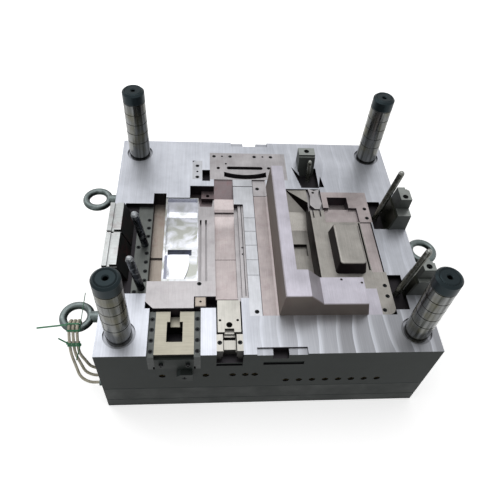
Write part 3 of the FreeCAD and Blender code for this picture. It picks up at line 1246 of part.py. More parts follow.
def make_trench_insert():
    """Deep trench whose back climbs in two facets."""
    body = new_body("trench_insert", PARTING)
    add(body, "trench", YZ, BAR_RIGHT, RIDGE_LEFT, [[
        (FOOT_BACK, "-insert_depth"), ("trench_back", "-insert_depth"), ("trench_back", "-8"),
        ("trench_back - 65", "-trench_floor * 0.72"), ("trench_back - 135", "-trench_floor"),
        (FOOT_BACK, "-trench_floor")]])
    take(body, "pocket", XY, "-trench_floor - 14", "-trench_floor",
         [rectangle(f"{BAR_RIGHT} + 26", f"{RIDGE_LEFT} - 10", "-46", "6")])
    add(body, "corner_wall", XY, "-trench_floor", "-4", [[
        (f"{BAR_RIGHT} + 12", "trench_back"), (RIDGE_LEFT, "trench_back - 65"),
        (RIDGE_LEFT, "trench_back")]])


def make_ridge_insert():
    body, block = tile("ridge_insert")
    dress(body, "Fillet", "edge_round", block, "5",
          lambda middle, direction: abs(middle.z) < 0.01 and abs(direction.y) > 0.99
          and abs(middle.x - number(RIDGE_LEFT)) < 0.01)
    take(body, "end_slots", XY, "-10", "0",
         [rectangle(f"{RIDGE_LEFT} + 8", f"{RIDGE_LEFT} + 14", "ridge_back - 36", "ridge_back"),
          rectangle(f"{RIDGE_RIGHT} - 18", f"{RIDGE_RIGHT} - 12", "ridge_back - 30", "ridge_back")])


def make_boss_insert():
    """Drafted rounded boss on a flat bed, with a clearance groove to its right."""
    body, bed = tile("boss_insert")
    right = f"({BED_RIGHT} - boss_gap)"
    boss = add(body, "boss", XY, "0", "boss_height",
               [rectangle(RIDGE_RIGHT, right, "boss_front", "boss_back")])
    boss.setExpression("TaperAngle", bound("-atan(boss_draft / boss_height)"))
    top = dress(body, "Fillet", "corner_round", boss, "boss_round",
                lambda middle, direction: 1 < middle.z < number("boss_height") - 1)
    dress(body, "Fillet", "top_round", top, "boss_round * 0.6",
          lambda middle, direction: abs(middle.z - number("boss_height")) < 0.01)
    take(body, "clearance_groove", XY, "-14", "0",
         [rectangle(f"{BED_RIGHT} - 9", f"{BED_RIGHT} - 3", "boss_front + 14", "right_middle_back - 4")])


def make_right_strip():
    body, block = tile("right_strip", top="-3")
    dress(body, "Fillet", "edge_round", block, "4",
          lambda middle, direction: abs(middle.z + 3) < 0.01 and abs(direction.y) > 0.99)


def make_right_front_insert():
    body, block = tile("right_front_insert")
    dress(body, "Fillet", "round_corner", block, "right_corner",
          lambda middle, direction: abs(direction.z) > 0.99 and middle.y < number("core_front") + 1
          and middle.x > number("right_front_edge") - 1)
    bore_for_screws(body, "right_front_insert", "-insert_depth")


def make_right_back_insert():
    """Screwed insert with a sunk window and a low ledge in front of it."""
    body, block = tile("right_back_insert")
    left = f"({RIDGE_RIGHT} + 20)"
    take(body, "window", XY, "-right_pocket_depth", "0",
         [rectangle(left, f"{BED_RIGHT} - 28", "right_back_back - 78", "right_back_back - 26")])
    take(body, "ledge", XY, "-10", "0",
         [rectangle(RIDGE_RIGHT, BED_RIGHT, "right_middle_back", "right_back_back - 78")])
    bore_for_screws(body, "right_back_insert", "-insert_depth")


def make_star_core():
    """Pointed core with a round hole behind the trench."""
    body, block = tile("star_core", top="-10")
    left, right, front, back = TILES["star_core"]
    add(body, "star", XY, "-10", "star_top", [[
        (f"{left} + 4", f"{front} + 22"), (f"{left} + 20", f"{front} + 2"),
        (f"{right} - 14", f"{front} + 2"), (f"{right} - 3", f"{front} + 30"),
        (f"{right} - 12", f"{back} - 34"), (f"{right} - 3", f"{back} - 4"),
        (f"{right} - 24", f"{back} - 12"), (f"{left} + 6", f"{back} - 2"),
        (f"{left} + 10", f"{back} - 40")]])
    take(body, "hole", XY, "-30", "star_top", circles=[(f"{left} + 22", f"{back} - 22", "star_hole")])


# ---------------------------------------------------------------- inserts at the back

def make_slotted_back_insert():
    """Screwed insert with a straight slot and a crescent slot."""
    body, block = tile("slotted_back_insert")
    low = "(slot_back - slot_width)"
    end = "(slot_width * 0.55)"
    take(body, "straight_slot", XY, "-slot_depth", "0", [[
        ("slot_middle - slot_half", low), ("slot_middle + slot_half", low, end),
        ("slot_middle + slot_half", "slot_back"), ("slot_middle - slot_half", "slot_back", end)]])
    low = "(crescent_back - crescent_wide)"
    take(body, "crescent_slot", XY, "-slot_depth", "0", [[
        ("slot_middle - crescent_half", low, "crescent_radius"), ("slot_middle + crescent_half", low),
        ("slot_middle + crescent_half", "crescent_back", "-crescent_radius * 0.8"),
        ("slot_middle - crescent_half", "crescent_back")]])
    take(body, "dowel_holes", XY, "-slot_depth", "0",
         circles=[("-128", "back_back - 18", "screw_shank"), ("27", "back_back - 18", "screw_shank"),
                  ("-143", "312", "screw_head"), ("-114", "336", "screw_shank"),
                  ("46", "314", "screw_head")])
    bore_for_screws(body, "slotted_back_insert", "-insert_depth")


def make_sloping_insert():
    body = new_body("sloping_insert", PARTING)
    add(body, "slope", YZ, PANEL_LEFT, SIDE_LEFT, [[
        ("panel_back", "-insert_depth"), ("back_front", "-insert_depth"), ("back_front", "-2"),
        ("back_front - 8", "-2"), ("panel_back", "-slope_low")]])


def make_stepped_insert():
    body, block = tile("stepped_insert", top="-step_deep")
    add(body, "high_step", XY, "-step_deep", "-step_deep * 0.6",
        [rectangle("step_left + 40", PANEL_LEFT, "polished_back + 22", "step_back")])
    take(body, "pin_hole", XY, "-step_deep", "-step_deep * 0.6",
         circles=[("step_left + 62", "step_back - 24", "screw_head")])


def make_back_gib():
    body = new_body("back_gib", PARTING)
    block = add(body, "block", XY, "-gib_thickness", "0",
                [rectangle("gib_left", GIB_RIGHT, "back_front", "gib_back")])
    dress(body, "Fillet", "round_corner", block, "gib_width * 0.4",
          lambda middle, direction: abs(direction.z) > 0.99 and middle.y > number("gib_back") - 1
          and middle.x < number("gib_left") + 1)
    bore_for_screws(body, "back_gib", "-gib_thickness")
    take(body, "dowel_hole", XY, "-gib_thickness", "0",
         circles=[("gib_left + gib_width / 2", "back_front + 41", "screw_shank")])


def make_left_gib_strip():
    body = new_body("left_gib_strip", PARTING)
    add(body, "strip", XY, "-slide_floor - gib_thickness", "-slide_floor",
        [rectangle(LEFT_GIB_LEFT, "trough_left", "left_pocket_front", "left_pocket_back")])
    bore_for_screws(body, "left_gib_strip", "-slide_floor - gib_thickness")
    for name in ("left_front", "left_back"):
        drill_for_pin(body, name)


def make_front_lock_plate():
    """Plate with a cut corner and a notch for the square pad."""
    body = new_body("front_lock_plate", PARTING)
    add(body, "plate", XY, "-lock_thickness", "0", [[
        ("trough_left", "lock_back"), ("trough_left", "lock_front + lock_corner"),
        ("trough_left + lock_corner", "lock_front"), ("notch_left", "lock_front"),
        ("notch_left", "notch_back"), (PANEL_LEFT, "notch_back"), (PANEL_LEFT, "lock_back")]])
    bore_for_screws(body, "front_lock_plate", "-lock_thickness")
    body = new_body("lock_pad", PARTING)
    pad_block = add(body, "pad", XY, "-lock_thickness", "4",
                    [rectangle("notch_left + 3", "notch_left + 3 + lock_pad_width", "lock_front + 3",
                               "lock_front + 3 + lock_pad_width")])
    dress(body, "Chamfer", "edge_break", pad_block, "2",
          lambda middle, direction: abs(middle.z - 4) < 0.01)
    take(body, "socket", XY, "-6", "4",
         circles=[("notch_left + 3 + lock_pad_width / 2", "lock_front + 3 + lock_pad_width / 2", "7")])


# ---------------------------------------------------------------- slides at the front edge

def make_large_slide():
    """Slide with a mouth right through it, guided by a lip along each side."""
    body = new_body("large_slide", PARTING)
    left = "(slide_left + slide_gib + slide_fit)"
    right = f"({SLIDE_RIGHT} - slide_gib - slide_fit)"
    floor = f"(-{SLIDE_FLOOR} + slide_fit)"
    lip = f"(-{SLIDE_FLOOR} + slide_lip_height - slide_fit)"
    front = "(slide_back - slide_length)"
    add(body, "slide", XZ, front, "slide_back", [[
        (f"{left} - slide_lip", floor), (f"{right} + slide_lip", floor), (f"{right} + slide_lip", lip),
        (right, lip), (right, "-slide_top"), (left, "-slide_top"), (left, lip),
        (f"{left} - slide_lip", lip)]])
    middle = f"(slide_left + slide_channel / 2)"
    take(body, "mouth", XY, floor, "-slide_top",
         [rectangle(f"{middle} - slide_slot_width / 2", f"{middle} + slide_slot_width / 2",
                    "slide_slot_front", "slide_slot_front + slide_slot_length")])
    take(body, "neck", XY, "-slide_top - 30", "-slide_top",
         [rectangle(f"{middle} - slide_neck / 2", f"{middle} + slide_neck / 2",
                    "slide_slot_front + slide_slot_length", "slide_back")])
    take(body, "stop_slot", XY, floor, f"-{SLIDE_FLOOR} + stop_pin_height + 2", [rectangle(
        "stop_pin_x - stop_pin_diameter / 2 - slide_fit", "stop_pin_x + stop_pin_diameter / 2 + slide_fit",
        "stop_pin_y - stop_pin_diameter / 2 - 2 * slide_fit",
        "stop_pin_y + stop_pin_diameter / 2 + slide_stroke + 2 * slide_fit")])
    take(body, "plate_screw_holes", XZ, front, f"{front} + 20",
         circles=[(x, SLIDE_BOLT_Z, "screw_shank") for x in SLIDE_BOLTS])
    body = new_body("large_slide_plate", PARTING)
    add(body, "plate", XZ, f"{front} - slide_plate_thickness", front,
        [rectangle(left, right, floor, "-slide_top - slide_plate_drop")])
    take(body, "screw_holes", XZ, f"{front} - slide_plate_thickness", front,
         circles=[(x, SLIDE_BOLT_Z, "screw_shank") for x in SLIDE_BOLTS])
    screw = socket_screw(number("screw_head"), number("screw_head_height"), number("screw_shank"),
                         number("slide_plate_thickness + 20"))
    make_group("slide_plate_screws", [
        put(screw, x, f"{front} - slide_plate_thickness", f"{PARTING} + {SLIDE_BOLT_Z}",
            Vector(1, 0, 0), 90) for x in SLIDE_BOLTS])


def make_large_gibs():
    """Mirrored gibs, undercut for the slide's lips and bored for their screws."""
    middle = f"(slide_left + slide_channel / 2)"
    solids = []
    for side in (-1, 1):
        body = new_body(f"large_gib_{'left' if side < 0 else 'right'}", PARTING, alone=False)
        outer = f"({middle} + {side} * slide_channel / 2)"
        inner = f"({middle} + {side} * (slide_channel / 2 - slide_gib))"
        under = f"({middle} + {side} * (slide_channel / 2 - slide_gib + slide_lip))"
        corners = [(outer, f"-{SLIDE_FLOOR}"), (under, f"-{SLIDE_FLOOR}"),
                   (under, f"-{SLIDE_FLOOR} + slide_lip_height"),
                   (inner, f"-{SLIDE_FLOOR} + slide_lip_height"), (inner, "-slide_top"),
                   (outer, "-slide_top")]
        add(body, "gib", XZ, f"-{HALF_WIDTH}", "slide_back", [corners])
        holes = [(x, y, face) for x, y, face in screw_holes("large_slide_gibs")
                 if side * (number(x) - number(middle)) > 0]
        bore(body, holes, f"-{SLIDE_FLOOR}")
        solids.append(body)
    join("large_slide_gibs", solids)


def make_slide_stop():
    body = new_body("slide_stop_pin", f"{PARTING} - {SLIDE_FLOOR} - stop_pin_height")
    pin = add(body, "pin", XY, "0", "2 * stop_pin_height",
              circles=[("stop_pin_x", "stop_pin_y", "stop_pin_diameter")])
    body = new_body("slide_latch", PARTING)
    block = add(body, "block", XZ, f"-{HALF_WIDTH} - latch_thickness", f"-{HALF_WIDTH}", [[
        (f"{LATCH_X} - latch_width / 2", f"{LATCH_Z} - latch_height / 2"),
        (f"{LATCH_X} + latch_width / 2", f"{LATCH_Z} - latch_height / 2"),
        (f"{LATCH_X} + latch_width / 2", f"{LATCH_Z} + latch_height / 2"),
        (f"{LATCH_X} - latch_width / 4", f"{LATCH_Z} + latch_height / 2"),
        (f"{LATCH_X} - latch_width / 2", f"{LATCH_Z} + latch_height / 4")]])
    take(body, "counterbore", XZ, f"-{HALF_WIDTH} - latch_thickness",
         f"-{HALF_WIDTH} - latch_thickness + screw_sink",
         circles=[(LATCH_X, LATCH_Z, "screw_head + 2 * screw_gap")])
    take(body, "screw_hole", XZ, f"-{HALF_WIDTH} - latch_thickness + screw_sink", f"-{HALF_WIDTH}",
         circles=[(LATCH_X, LATCH_Z, "screw_shank")])


def make_small_slide():
    """Slide with a broad head and a flanged tail; a leaning pin works it."""
    body = new_body("small_slide", PARTING)
    floor = "(-mini_depth + slide_fit)"
    left, right = f"({PANEL_LEFT} + mini_margin)", f"({MINI_RIGHT} - mini_margin)"
    middle = f"({PANEL_LEFT} + mini_channel / 2)"
    tail = f"({middle} - mini_tail / 2)", f"({middle} + mini_tail / 2)"
    add(body, "head", XY, floor, "-2", [rectangle(left, right, "mini_front", "mini_back")])
    flange = f"(-mini_depth + mini_flange_height - slide_fit)"
    add(body, "tail", XZ, "mini_tail_front", "mini_front", [[
        (f"{tail[0]} - mini_flange", floor), (f"{tail[1]} + mini_flange", floor),
        (f"{tail[1]} + mini_flange", flange), (tail[1], flange), (tail[1], "-mini_tail_top"),
        (tail[0], "-mini_tail_top"), (tail[0], flange), (f"{tail[0]} - mini_flange", flange)]])
    take(body, "tail_slot", XY, "-mini_tail_top - 18", "-mini_tail_top",
         [rectangle(*tail, "mini_tail_front + 30", "mini_tail_front + 40")])
    take(body, "head_step", XY, "-mini_tail_top + 6", "-2",
         [rectangle(f"{middle} - 14", f"{middle} + 14", "mini_front", "mini_front + 12")])
    take(body, "upright_holes", XY, floor, "-2",
         circles=[(f"{left} + 7", "mini_back - 70", "mini_hole"),
                  (f"{right} - 9", "mini_back - 70", "mini_hole")])
    drill(body, "pin_hole", "mini_pin_hole", "3 * mini_depth",
          (middle, "mini_back - 85 - 2 * mini_depth * tan(mini_pin_lean)", "-2 * mini_depth"),
          Vector(1, 0, 0), "-mini_pin_lean")


def make_small_gibs():
    middle = f"({PANEL_LEFT} + mini_channel / 2)"
    reach = f"(mini_tail / 2 + mini_flange + slide_fit)"
    solids = []
    for side in (-1, 1):
        body = new_body(f"small_gib_{'left' if side < 0 else 'right'}", PARTING, alone=False)
        outer = f"({middle} + {side} * mini_channel / 2)"
        under = f"({middle} + {side} * {reach})"
        inner = f"({middle} + {side} * (mini_channel / 2 - mini_gib))"
        level = "(-mini_depth + mini_flange_height)"
        add(body, "gib", XZ, "mini_gib_front", "mini_gib_front + mini_gib_length", [[
            (outer, "-mini_depth"), (under, "-mini_depth"), (under, level), (inner, level),
            (inner, "0"), (outer, "0")]])
        holes = [(x, y, face) for x, y, face in screw_holes("small_slide_gibs")
                 if side * (number(x) - number(middle)) > 0]
        bore(body, holes, "-mini_depth")
        solids.append(body)
    join("small_slide_gibs", solids)


# ---------------------------------------------------------------- hot runner and cables

def make_hot_runner():
    """Heated manifold in the middle plate, its nozzles and the sprue bushing that feeds it."""
    body = new_body("hot_runner_manifold", "clamp_thickness")
    bar = add(body, "bar", XY, "runner_air", RUNNER_TOP,
              [rectangle("-runner_length / 2", "runner_length / 2", "-runner_width / 2",
                         "runner_width / 2")])
    take(body, "feed_hole", XY, "runner_air", "runner_air + runner_height / 2",
         circles=[("0", "0", "feed_diameter")])
    take(body, "nozzle_feeds", XY, "runner_air + runner_height / 2", RUNNER_TOP,
         circles=[(x, "0", "feed_diameter") for x in ("nozzle_left_x", "nozzle_right_x")])
    height = f"{PARTING} - insert_depth - clamp_thickness - {RUNNER_TOP}"
    nozzle = Part.makeCylinder(number("nozzle_diameter / 2"), number(height)).cut(
        Part.makeCylinder(number("feed_diameter / 2"), number(height)))
    make_group("hot_runner_nozzles", [put(nozzle, x, "0", f"clamp_thickness + {RUNNER_TOP}")
                                      for x in ("nozzle_left_x", "nozzle_right_x")])
    body = new_body("sprue_bushing")
    turn(body, "bushing", [
        ("feed_diameter / 2", "register_depth + 1"), ("sprue_diameter / 2", "register_depth + 1"),
        ("sprue_diameter / 2", "clamp_thickness"), ("sprue_flange / 2", "clamp_thickness"),
        ("sprue_flange / 2", "clamp_thickness + runner_air"),
        ("feed_diameter / 2", "clamp_thickness + runner_air")])


def rounded_path(places):
    """Straight runs joined by tangent arcs, each as large as its two runs allow."""
    edges = []
    last = places[0]
    for before, corner, after in zip(places, places[1:], places[2:]):
        inward, outward = before - corner, after - corner
        reach = 0.45 * min(inward.Length, outward.Length)
        half = inward.getAngle(outward) / 2
        inward.normalize()
        outward.normalize()
        radius = reach * math.tan(half)
        start, stop = corner + inward * reach, corner + outward * reach
        towards = (inward + outward).normalize()
        middle = corner + towards * (radius / math.sin(half) - radius)
        edges += [Part.LineSegment(last, start).toShape(), Part.Arc(start, middle, stop).toShape()]
        print(f"cable bend radius {radius:.0f}")
        last = stop
    edges.append(Part.LineSegment(last, places[-1]).toShape())
    return Part.Wire(edges)


def round_bar(places, diameter):
    path = rounded_path(places)
    ring = Part.Wire([Part.makeCircle(diameter / 2, places[0], (places[1] - places[0]).normalize())])
    bar = path.makePipeShell([ring], True, False)
    print(f"cable volume ratio {bar.Volume / (math.pi * diameter ** 2 / 4 * path.Length):.4f}")
    return bar


# the middle cable beyond its gland, from the centre of the front eye: out from the plate, back, up
CABLE_ROUTE = [(25, -126, -142), (-1, -98, -45), (-1, -72, 2), (-1, -42, 30), (-1, -13, 8), (-1, -15, -27)]


def eye_centre():
    return Vector(number(f"-{HALF_LENGTH} - eye_reach"), number("eye_front_y"), number(f"{PARTING} - eye_drop"))


def gland_places():
    """Mouths of the cable glands in the plate's left end."""
    for step in range(3):
        yield Vector(number(f"-{HALF_LENGTH}"), number("gland_front_y") + step * number("gland_pitch"),
                     number("clamp_thickness + manifold_thickness / 2"))


def make_cables():
    """Three heater cables from their glands, over the front eye bolt and down through its ring."""
    cables, glands = [], []
    diameter, length = number("cable_diameter"), number("gland_length")
    for step, gland in enumerate(gland_places()):
        shift = Vector((step - 1) * number("cable_pitch"), 0, 0)
        route = [eye_centre() + shift + Vector(*place) for place in CABLE_ROUTE]
        route[0].y, route[0].z = gland.y, gland.z
        cables.append(round_bar([gland + Vector(number("gland_thread"), 0, 0)] + route, diameter))
        sleeve = Part.makeCylinder(number("gland_diameter / 2"), length)
        thread = Part.makeCylinder(number("gland_diameter / 2 - 4"), number("gland_thread"),
                                   Vector(0, 0, -number("gland_thread")))
        sleeve = sleeve.fuse(thread).removeSplitter().cut(
            Part.makeCylinder(diameter / 2, length + number("gland_thread"),
                              Vector(0, 0, -number("gland_thread"))))
        sleeve.Placement = Placement(gland, Rotation(Vector(0, 1, 0), -90))
        glands.append(sleeve)
    make_group("heater_cables", cables)
    make_group("cable_glands", glands)


def cable_tie(centre, along, side, reach_out):
    """A band round the three cables, with its ratchet head at one side and a long tail."""
    thick, width = number("tie_thickness"), number("tie_width")
    across, high = number("2 * cable_pitch + cable_diameter"), number("cable_diameter + 2 * tie_gap")
    band = Part.makeBox(across + 2 * thick, high + 2 * thick, width,
                        Vector(-across / 2 - thick, -high / 2 - thick, -width / 2))
    start = Vector(side * (across / 2 + width / 2), 0, 0)
    head = Part.makeBox(width, width * 1.4, width * 1.4, start - Vector(width / 2, width * 0.7, width * 0.7))
    band = band.fuse(head).cut(Part.makeBox(across, high, width * 2, Vector(-across / 2, -high / 2, -width)))
    band.Placement = Placement(centre, Rotation(Vector(0, 0, 1), along))
    start = band.Placement.multVec(start)
    tail = Part.makeBox(thick, width, reach_out.Length, Vector(-thick / 2, -width / 2, 0))
    tail.Placement = Placement(start, Rotation(Vector(0, 0, 1), reach_out))
    return band.fuse(tail).removeSplitter()


def make_cable_ties():
    """Four ties with long tails, from the top of the ring down to where the cables rise."""
    places = [eye_centre() + Vector(*place) for place in CABLE_ROUTE[:4]]
    outlet, rise, near, over = places
    ties = [
        cable_tie(over - Vector(0, 0, number("cable_sag")), Vector(0, 1, 0), -1, Vector(-84, -14, 6)),
        cable_tie((near + over) * 0.5, over - near, 1, Vector(2, 126, 14)),
        cable_tie(rise + (near - rise) * 0.62, near - rise, -1, Vector(-28, 14, 4)),
        cable_tie((rise + near) * 0.5, near - rise, 1, Vector(-6, -46, -10)),
    ]
    make_group("cable_ties", ties)


# ---------------------------------------------------------------- build and export

def build():
    make_clamp_plate()
    make_manifold_plate()
    make_cavity_plate()
    for name, x, y in pillar_places():
        make_pillar(name, x, y)
    join("eye_bolts", [make_eye_bolt(name, side, along) for name, (side, along) in EYES.items()])
    make_insert_screws()
    make_plate_screws()
    make_water_plugs()
    for side in ("left", "right"):
        join(f"angle_pins_{side}", [make_angle_pin(name, *pin) for name, pin in PINS.items()
                                    if name.startswith(side)])
    make_angle_pin("back", *PINS["back"])
    for name, ends in LEFT_HEELS.items():
        make_left_heel(name, *ends)
    for name, heel in RIGHT_HEELS.items():
        make_right_heel(name, *heel)
    join("wear_plates", [make_wear_plate(name, *heel) for name, heel in RIGHT_HEELS.items()])
    make_back_heel()
    make_heel_screws()
    make_left_trough()
    make_polished_insert()
    make_polished_block()
    make_ribbed_insert()
    make_panels()
    make_side_strip()
    make_parting_strip()
    make_shutoff("shutoff_strip", False)
    make_shutoff("end_pad", True)
    make_core_bar()
    make_trench_insert()
    make_ridge_insert()
    make_boss_insert()
    make_right_strip()
    make_right_front_insert()
    make_right_back_insert()
    make_star_core()
    make_slotted_back_insert()
    make_sloping_insert()
    make_stepped_insert()
    make_left_gib_strip()
    make_back_gib()
    make_front_lock_plate()
    make_large_slide()
    make_large_gibs()
    make_slide_stop()
    make_small_slide()
    make_small_gibs()
    make_hot_runner()
    make_cables()
    make_cable_ties()


def check():
    """Stops the build if a feature failed or a piece has no sound solid."""
    doc.recompute()
    faults = []
    for item in doc.Objects:
        if "Invalid" in item.State or "Error" in item.State:
            faults.append(f"{item.Name} did not build: {item.State}")
    for piece in NODES:
        if piece.Shape.isNull() or not piece.Shape.isValid() or not piece.Shape.Solids:
            faults.append(f"{piece.Label} has no sound solid")
    if faults:
        raise RuntimeError("; ".join(faults))


def export():
    os.makedirs("parts", exist_ok=True)
    for piece in NODES:
        piece.Shape.exportStep(f"parts/{piece.Label}.step")
        box = piece.Shape.BoundBox
        print(f"{piece.Label}: {len(piece.Shape.Solids)} solid(s), {box.XLength:.1f} x"
              f" {box.YLength:.1f} x {box.ZLength:.1f}")


build()
check()
export()
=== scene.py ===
import math

import bpy
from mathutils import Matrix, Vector


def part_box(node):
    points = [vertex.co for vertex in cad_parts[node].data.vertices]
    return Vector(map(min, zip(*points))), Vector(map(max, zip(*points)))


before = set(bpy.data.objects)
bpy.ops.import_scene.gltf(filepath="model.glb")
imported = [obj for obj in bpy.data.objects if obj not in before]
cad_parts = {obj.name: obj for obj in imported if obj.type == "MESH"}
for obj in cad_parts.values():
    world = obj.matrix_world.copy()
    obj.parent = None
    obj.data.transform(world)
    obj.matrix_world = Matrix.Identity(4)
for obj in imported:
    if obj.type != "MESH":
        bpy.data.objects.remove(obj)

bl_info = {
    "name": "Mould half",
    "version": (1, 0, 0),
    "blender": (4, 5, 0),
    "location": "3D View > Sidebar > Mould",
    "description": "Finishes and small fittings for the fixed half of a large injection mould",
    "category": "Object",
}

EDGE_REACH = 0.0006             # reach of the near-black side colour, oxide and painted shade, in from the plate's ends
LONG_SIDE_STEP = 0.0056         # the same on the long sides, past their shallow bevel
OIL_AND_SHADE_FROM, OIL_AND_SHADE_WHOLLY = 0.004, 0.012     # depth at which the pockets turn dark, partly oil and partly painted shade
NOSE_FROM, NOSE_WHOLLY = 0.231, 0.236       # where a pillar's blued nose starts, over the parting
FLOOR_SIZE = 60
LAMPS = (("ceiling_light", (-0.5, 0.6, 3.2), 2.6, 30),      # name, place, size, watts
         ("window_light", (-2.4, 1.6, 2.2), 1.8, 16))
CAMERA_PLACE, CAMERA_TURN = (-0.1987, -1.1455, 1.6409), (39.182, -4.077, -3.173)
CAMERA_LENS, CAMERA_SENSOR = 37.4, 36
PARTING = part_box("cavity_plate")[1][2]                  # height of the parting face
PLATE_HIGH = Vector(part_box("cavity_plate")[1])


def tone(code, alpha=1.0):
    """sRGB hex code to the linear colour that shaders use."""
    parts = [int(code[step:step + 2], 16) / 255 for step in (0, 2, 4)]
    return tuple(part / 12.92 if part <= 0.04045 else ((part + 0.055) / 1.055) ** 2.4
                 for part in parts) + (alpha,)


def shade_of(description, code):
    return bpy.props.FloatVectorProperty(name=description, description=description, subtype="COLOR",
                                         size=4, min=0, max=1, default=tone(code))


def length_of(description, metres):
    return bpy.props.FloatProperty(name=description, description=description, default=metres,
                                   min=0.0001, unit="LENGTH")


class MouldPlateLooks(bpy.types.PropertyGroup):
    """Colours and sizes on the three plates."""
    ground: shade_of("Ground top of the cavity plate", "AEB1B9")
    ground_dull: shade_of("Dull passes on that top", "85868A")
    ground_bright: shade_of("Bright passes on that top", "C9CCD4")
    # partly painted shade: pocket walls and floors darker than the top, together with their oil
    pocket_oil_and_shade: shade_of("Milled pocket walls and floors", "29272A")
    # partly painted shade: the near-black of the outer sides is oxide and shade together
    side: shade_of("Blackened plate sides", "0A120F")
    # paler colour for wear, and on upward bevels and tops a painted highlight
    wear_and_highlight: shade_of("Worn edges of the plates", "2C3231")
    grinding_pass: length_of("Width of one grinding pass", 0.054)
    cloud: length_of("Size of the wiped patches", 0.15)


class MouldInsertLooks(bpy.types.PropertyGroup):
    """Colours on the inserts and slides."""
    pale: shade_of("Ground insert steel", "A6A3A5")
    pink: shade_of("Insert steel with spotting paste wiped over it", "A89F9F")
    tan: shade_of("Insert steel with a dry tan film", "978E85")
    # painted shade: the darker colour that walls get, while level faces keep the lit colour
    wall_painted_shade: shade_of("Milled insert walls", "3C363B")
    paste: shade_of("Red spotting paste", "6A2F35")
    mirror: shade_of("Polished cavity", "C6C8D3")
    slide: shade_of("Bronze slides, dull", "9D998C")
    cloud: length_of("Size of the patches on the inserts", 0.06)


class MouldFittingLooks(bpy.types.PropertyGroup):
    """Colours on pillars, pins, bolts, cables and ties."""
    pillar: shade_of("Ground pillar shaft", "41423E")
    pillar_oil: shade_of("Oil on the pillars", "5E5A44")
    nose: shade_of("Hardened pillar nose", "252D30")
    blued: shade_of("Blued steel", "2B3130")
    bright: shade_of("Bright steel", "D9DBDD")
    screw: shade_of("Black oxide screws", "17191A")
    brass: shade_of("Brass plugs", "5E5230")
    cable: shade_of("Cable sheath", "C9C3AE")
    sleeve: shade_of("Shrunk sleeves on the cables", "7A2F24")
    tie: shade_of("Green cable ties", "1F6B45")
    floor: shade_of("Floor", "F4F4F4")


def add(tree, kind, inputs=None, **settings):
    """One node with its settings, and its inputs linked or set."""
    node = tree.nodes.new(kind)
    for name, value in settings.items():
        setattr(node, name, value)
    for name, value in (inputs or {}).items():
        if isinstance(value, bpy.types.NodeSocket):
            tree.links.new(value, node.inputs[name])
        else:
            node.inputs[name].default_value = value
    return node


def blank(name):
    """An empty material, its tree and the place of each point on the object."""
    material = bpy.data.materials.new(name)
    material.use_nodes = True
    tree = material.node_tree
    tree.nodes.clear()
    return material, tree, add(tree, "ShaderNodeTexCoord").outputs["Object"]


def close(tree, shader, inputs, bump=None, depth=0.0002, strength=0.4):
    """The shader, its bump and the output."""
    if bump is not None:
        inputs["Normal"] = add(tree, "ShaderNodeBump", {
            "Height": bump, "Distance": depth, "Strength": strength}).outputs[0]
    body = add(tree, shader, inputs)
    add(tree, "ShaderNodeOutputMaterial", {"Surface": body.outputs[0]})


def level_share(tree, low=0.4, high=0.92):
    """1 on faces that lie level and look up, 0 on walls."""
    facing = add(tree, "ShaderNodeSeparateXYZ", {
        0: add(tree, "ShaderNodeNewGeometry").outputs["Normal"]})
    return add(tree, "ShaderNodeMapRange", {
        "Value": facing.outputs["Z"], "From Min": low, "From Max": high}).outputs[0]


def machined_steel(name, lit_flat, wall_painted_shade, cloud=0.06, grain=(500, 14, 500), rough=0.36, stain=None,
                   stain_share=0.0, metal=0.8, wall_rough=0.55):
    """Tool steel, milled and then ground: level faces get the lit colour, and the walls, rougher
    from the cutter, get a darker colour as painted shade. Wiped oil leaves soft patches, tool marks
    run one way."""
    material, tree, place = blank(name)
    patches = add(tree, "ShaderNodeTexNoise", {
        "Vector": place, "Scale": 1 / cloud, "Detail": 5.0, "Roughness": 0.6}).outputs[0]
    run = add(tree, "ShaderNodeMapping", {"Vector": place, "Scale": grain}).outputs[0]
    # the real marks are 0.3 mm apart, drawn about 2 mm apart so that they show
    marks = add(tree, "ShaderNodeTexNoise", {"Vector": run, "Scale": 1.0, "Detail": 3.0}).outputs[0]
    level = level_share(tree)
    # painted shade: walls darker than the lit level faces
    colour = add(tree, "ShaderNodeMix", {0: level, 6: wall_painted_shade, 7: lit_flat}, data_type="RGBA").outputs[2]
    value = add(tree, "ShaderNodeMapRange", {
        "Value": patches, "From Min": 0.3, "From Max": 0.7, "To Min": 0.8,
        "To Max": 1.14}).outputs[0]
    colour = add(tree, "ShaderNodeHueSaturation", {"Color": colour, "Value": value}).outputs[0]
    lines = add(tree, "ShaderNodeMapRange", {
        "Value": marks, "From Min": 0.35, "From Max": 0.65, "To Min": 0.93,
        "To Max": 1.06}).outputs[0]
    colour = add(tree, "ShaderNodeHueSaturation", {"Color": colour, "Value": lines}).outputs[0]
    if stain is not None:
        spots = add(tree, "ShaderNodeTexNoise", {
            "Vector": place, "Scale": 1.7 / cloud, "Detail": 6.0, "Roughness": 0.7,
            "Distortion": 0.6}).outputs[0]
        share = add(tree, "ShaderNodeMapRange", {
            "Value": spots, "From Min": 0.52, "From Max": 0.74, "To Max": stain_share}).outputs[0]
        colour = add(tree, "ShaderNodeMix", {
            0: share, 6: colour, 7: stain}, data_type="RGBA").outputs[2]
    roughness = add(tree, "ShaderNodeMapRange", {
        "Value": level, "To Min": wall_rough, "To Max": rough}).outputs[0]
    roughness = add(tree, "ShaderNodeMath", {0: roughness, 1: add(tree, "ShaderNodeMapRange", {
        "Value": patches, "From Min": 0.3, "From Max": 0.7, "To Min": -0.05,
        "To Max": 0.07}).outputs[0]}, operation="ADD").outputs[0]
    close(tree, "ShaderNodeBsdfPrincipled", {
        "Base Color": colour, "Metallic": metal, "Roughness": roughness}, marks, 0.00015, 0.35)
    return material


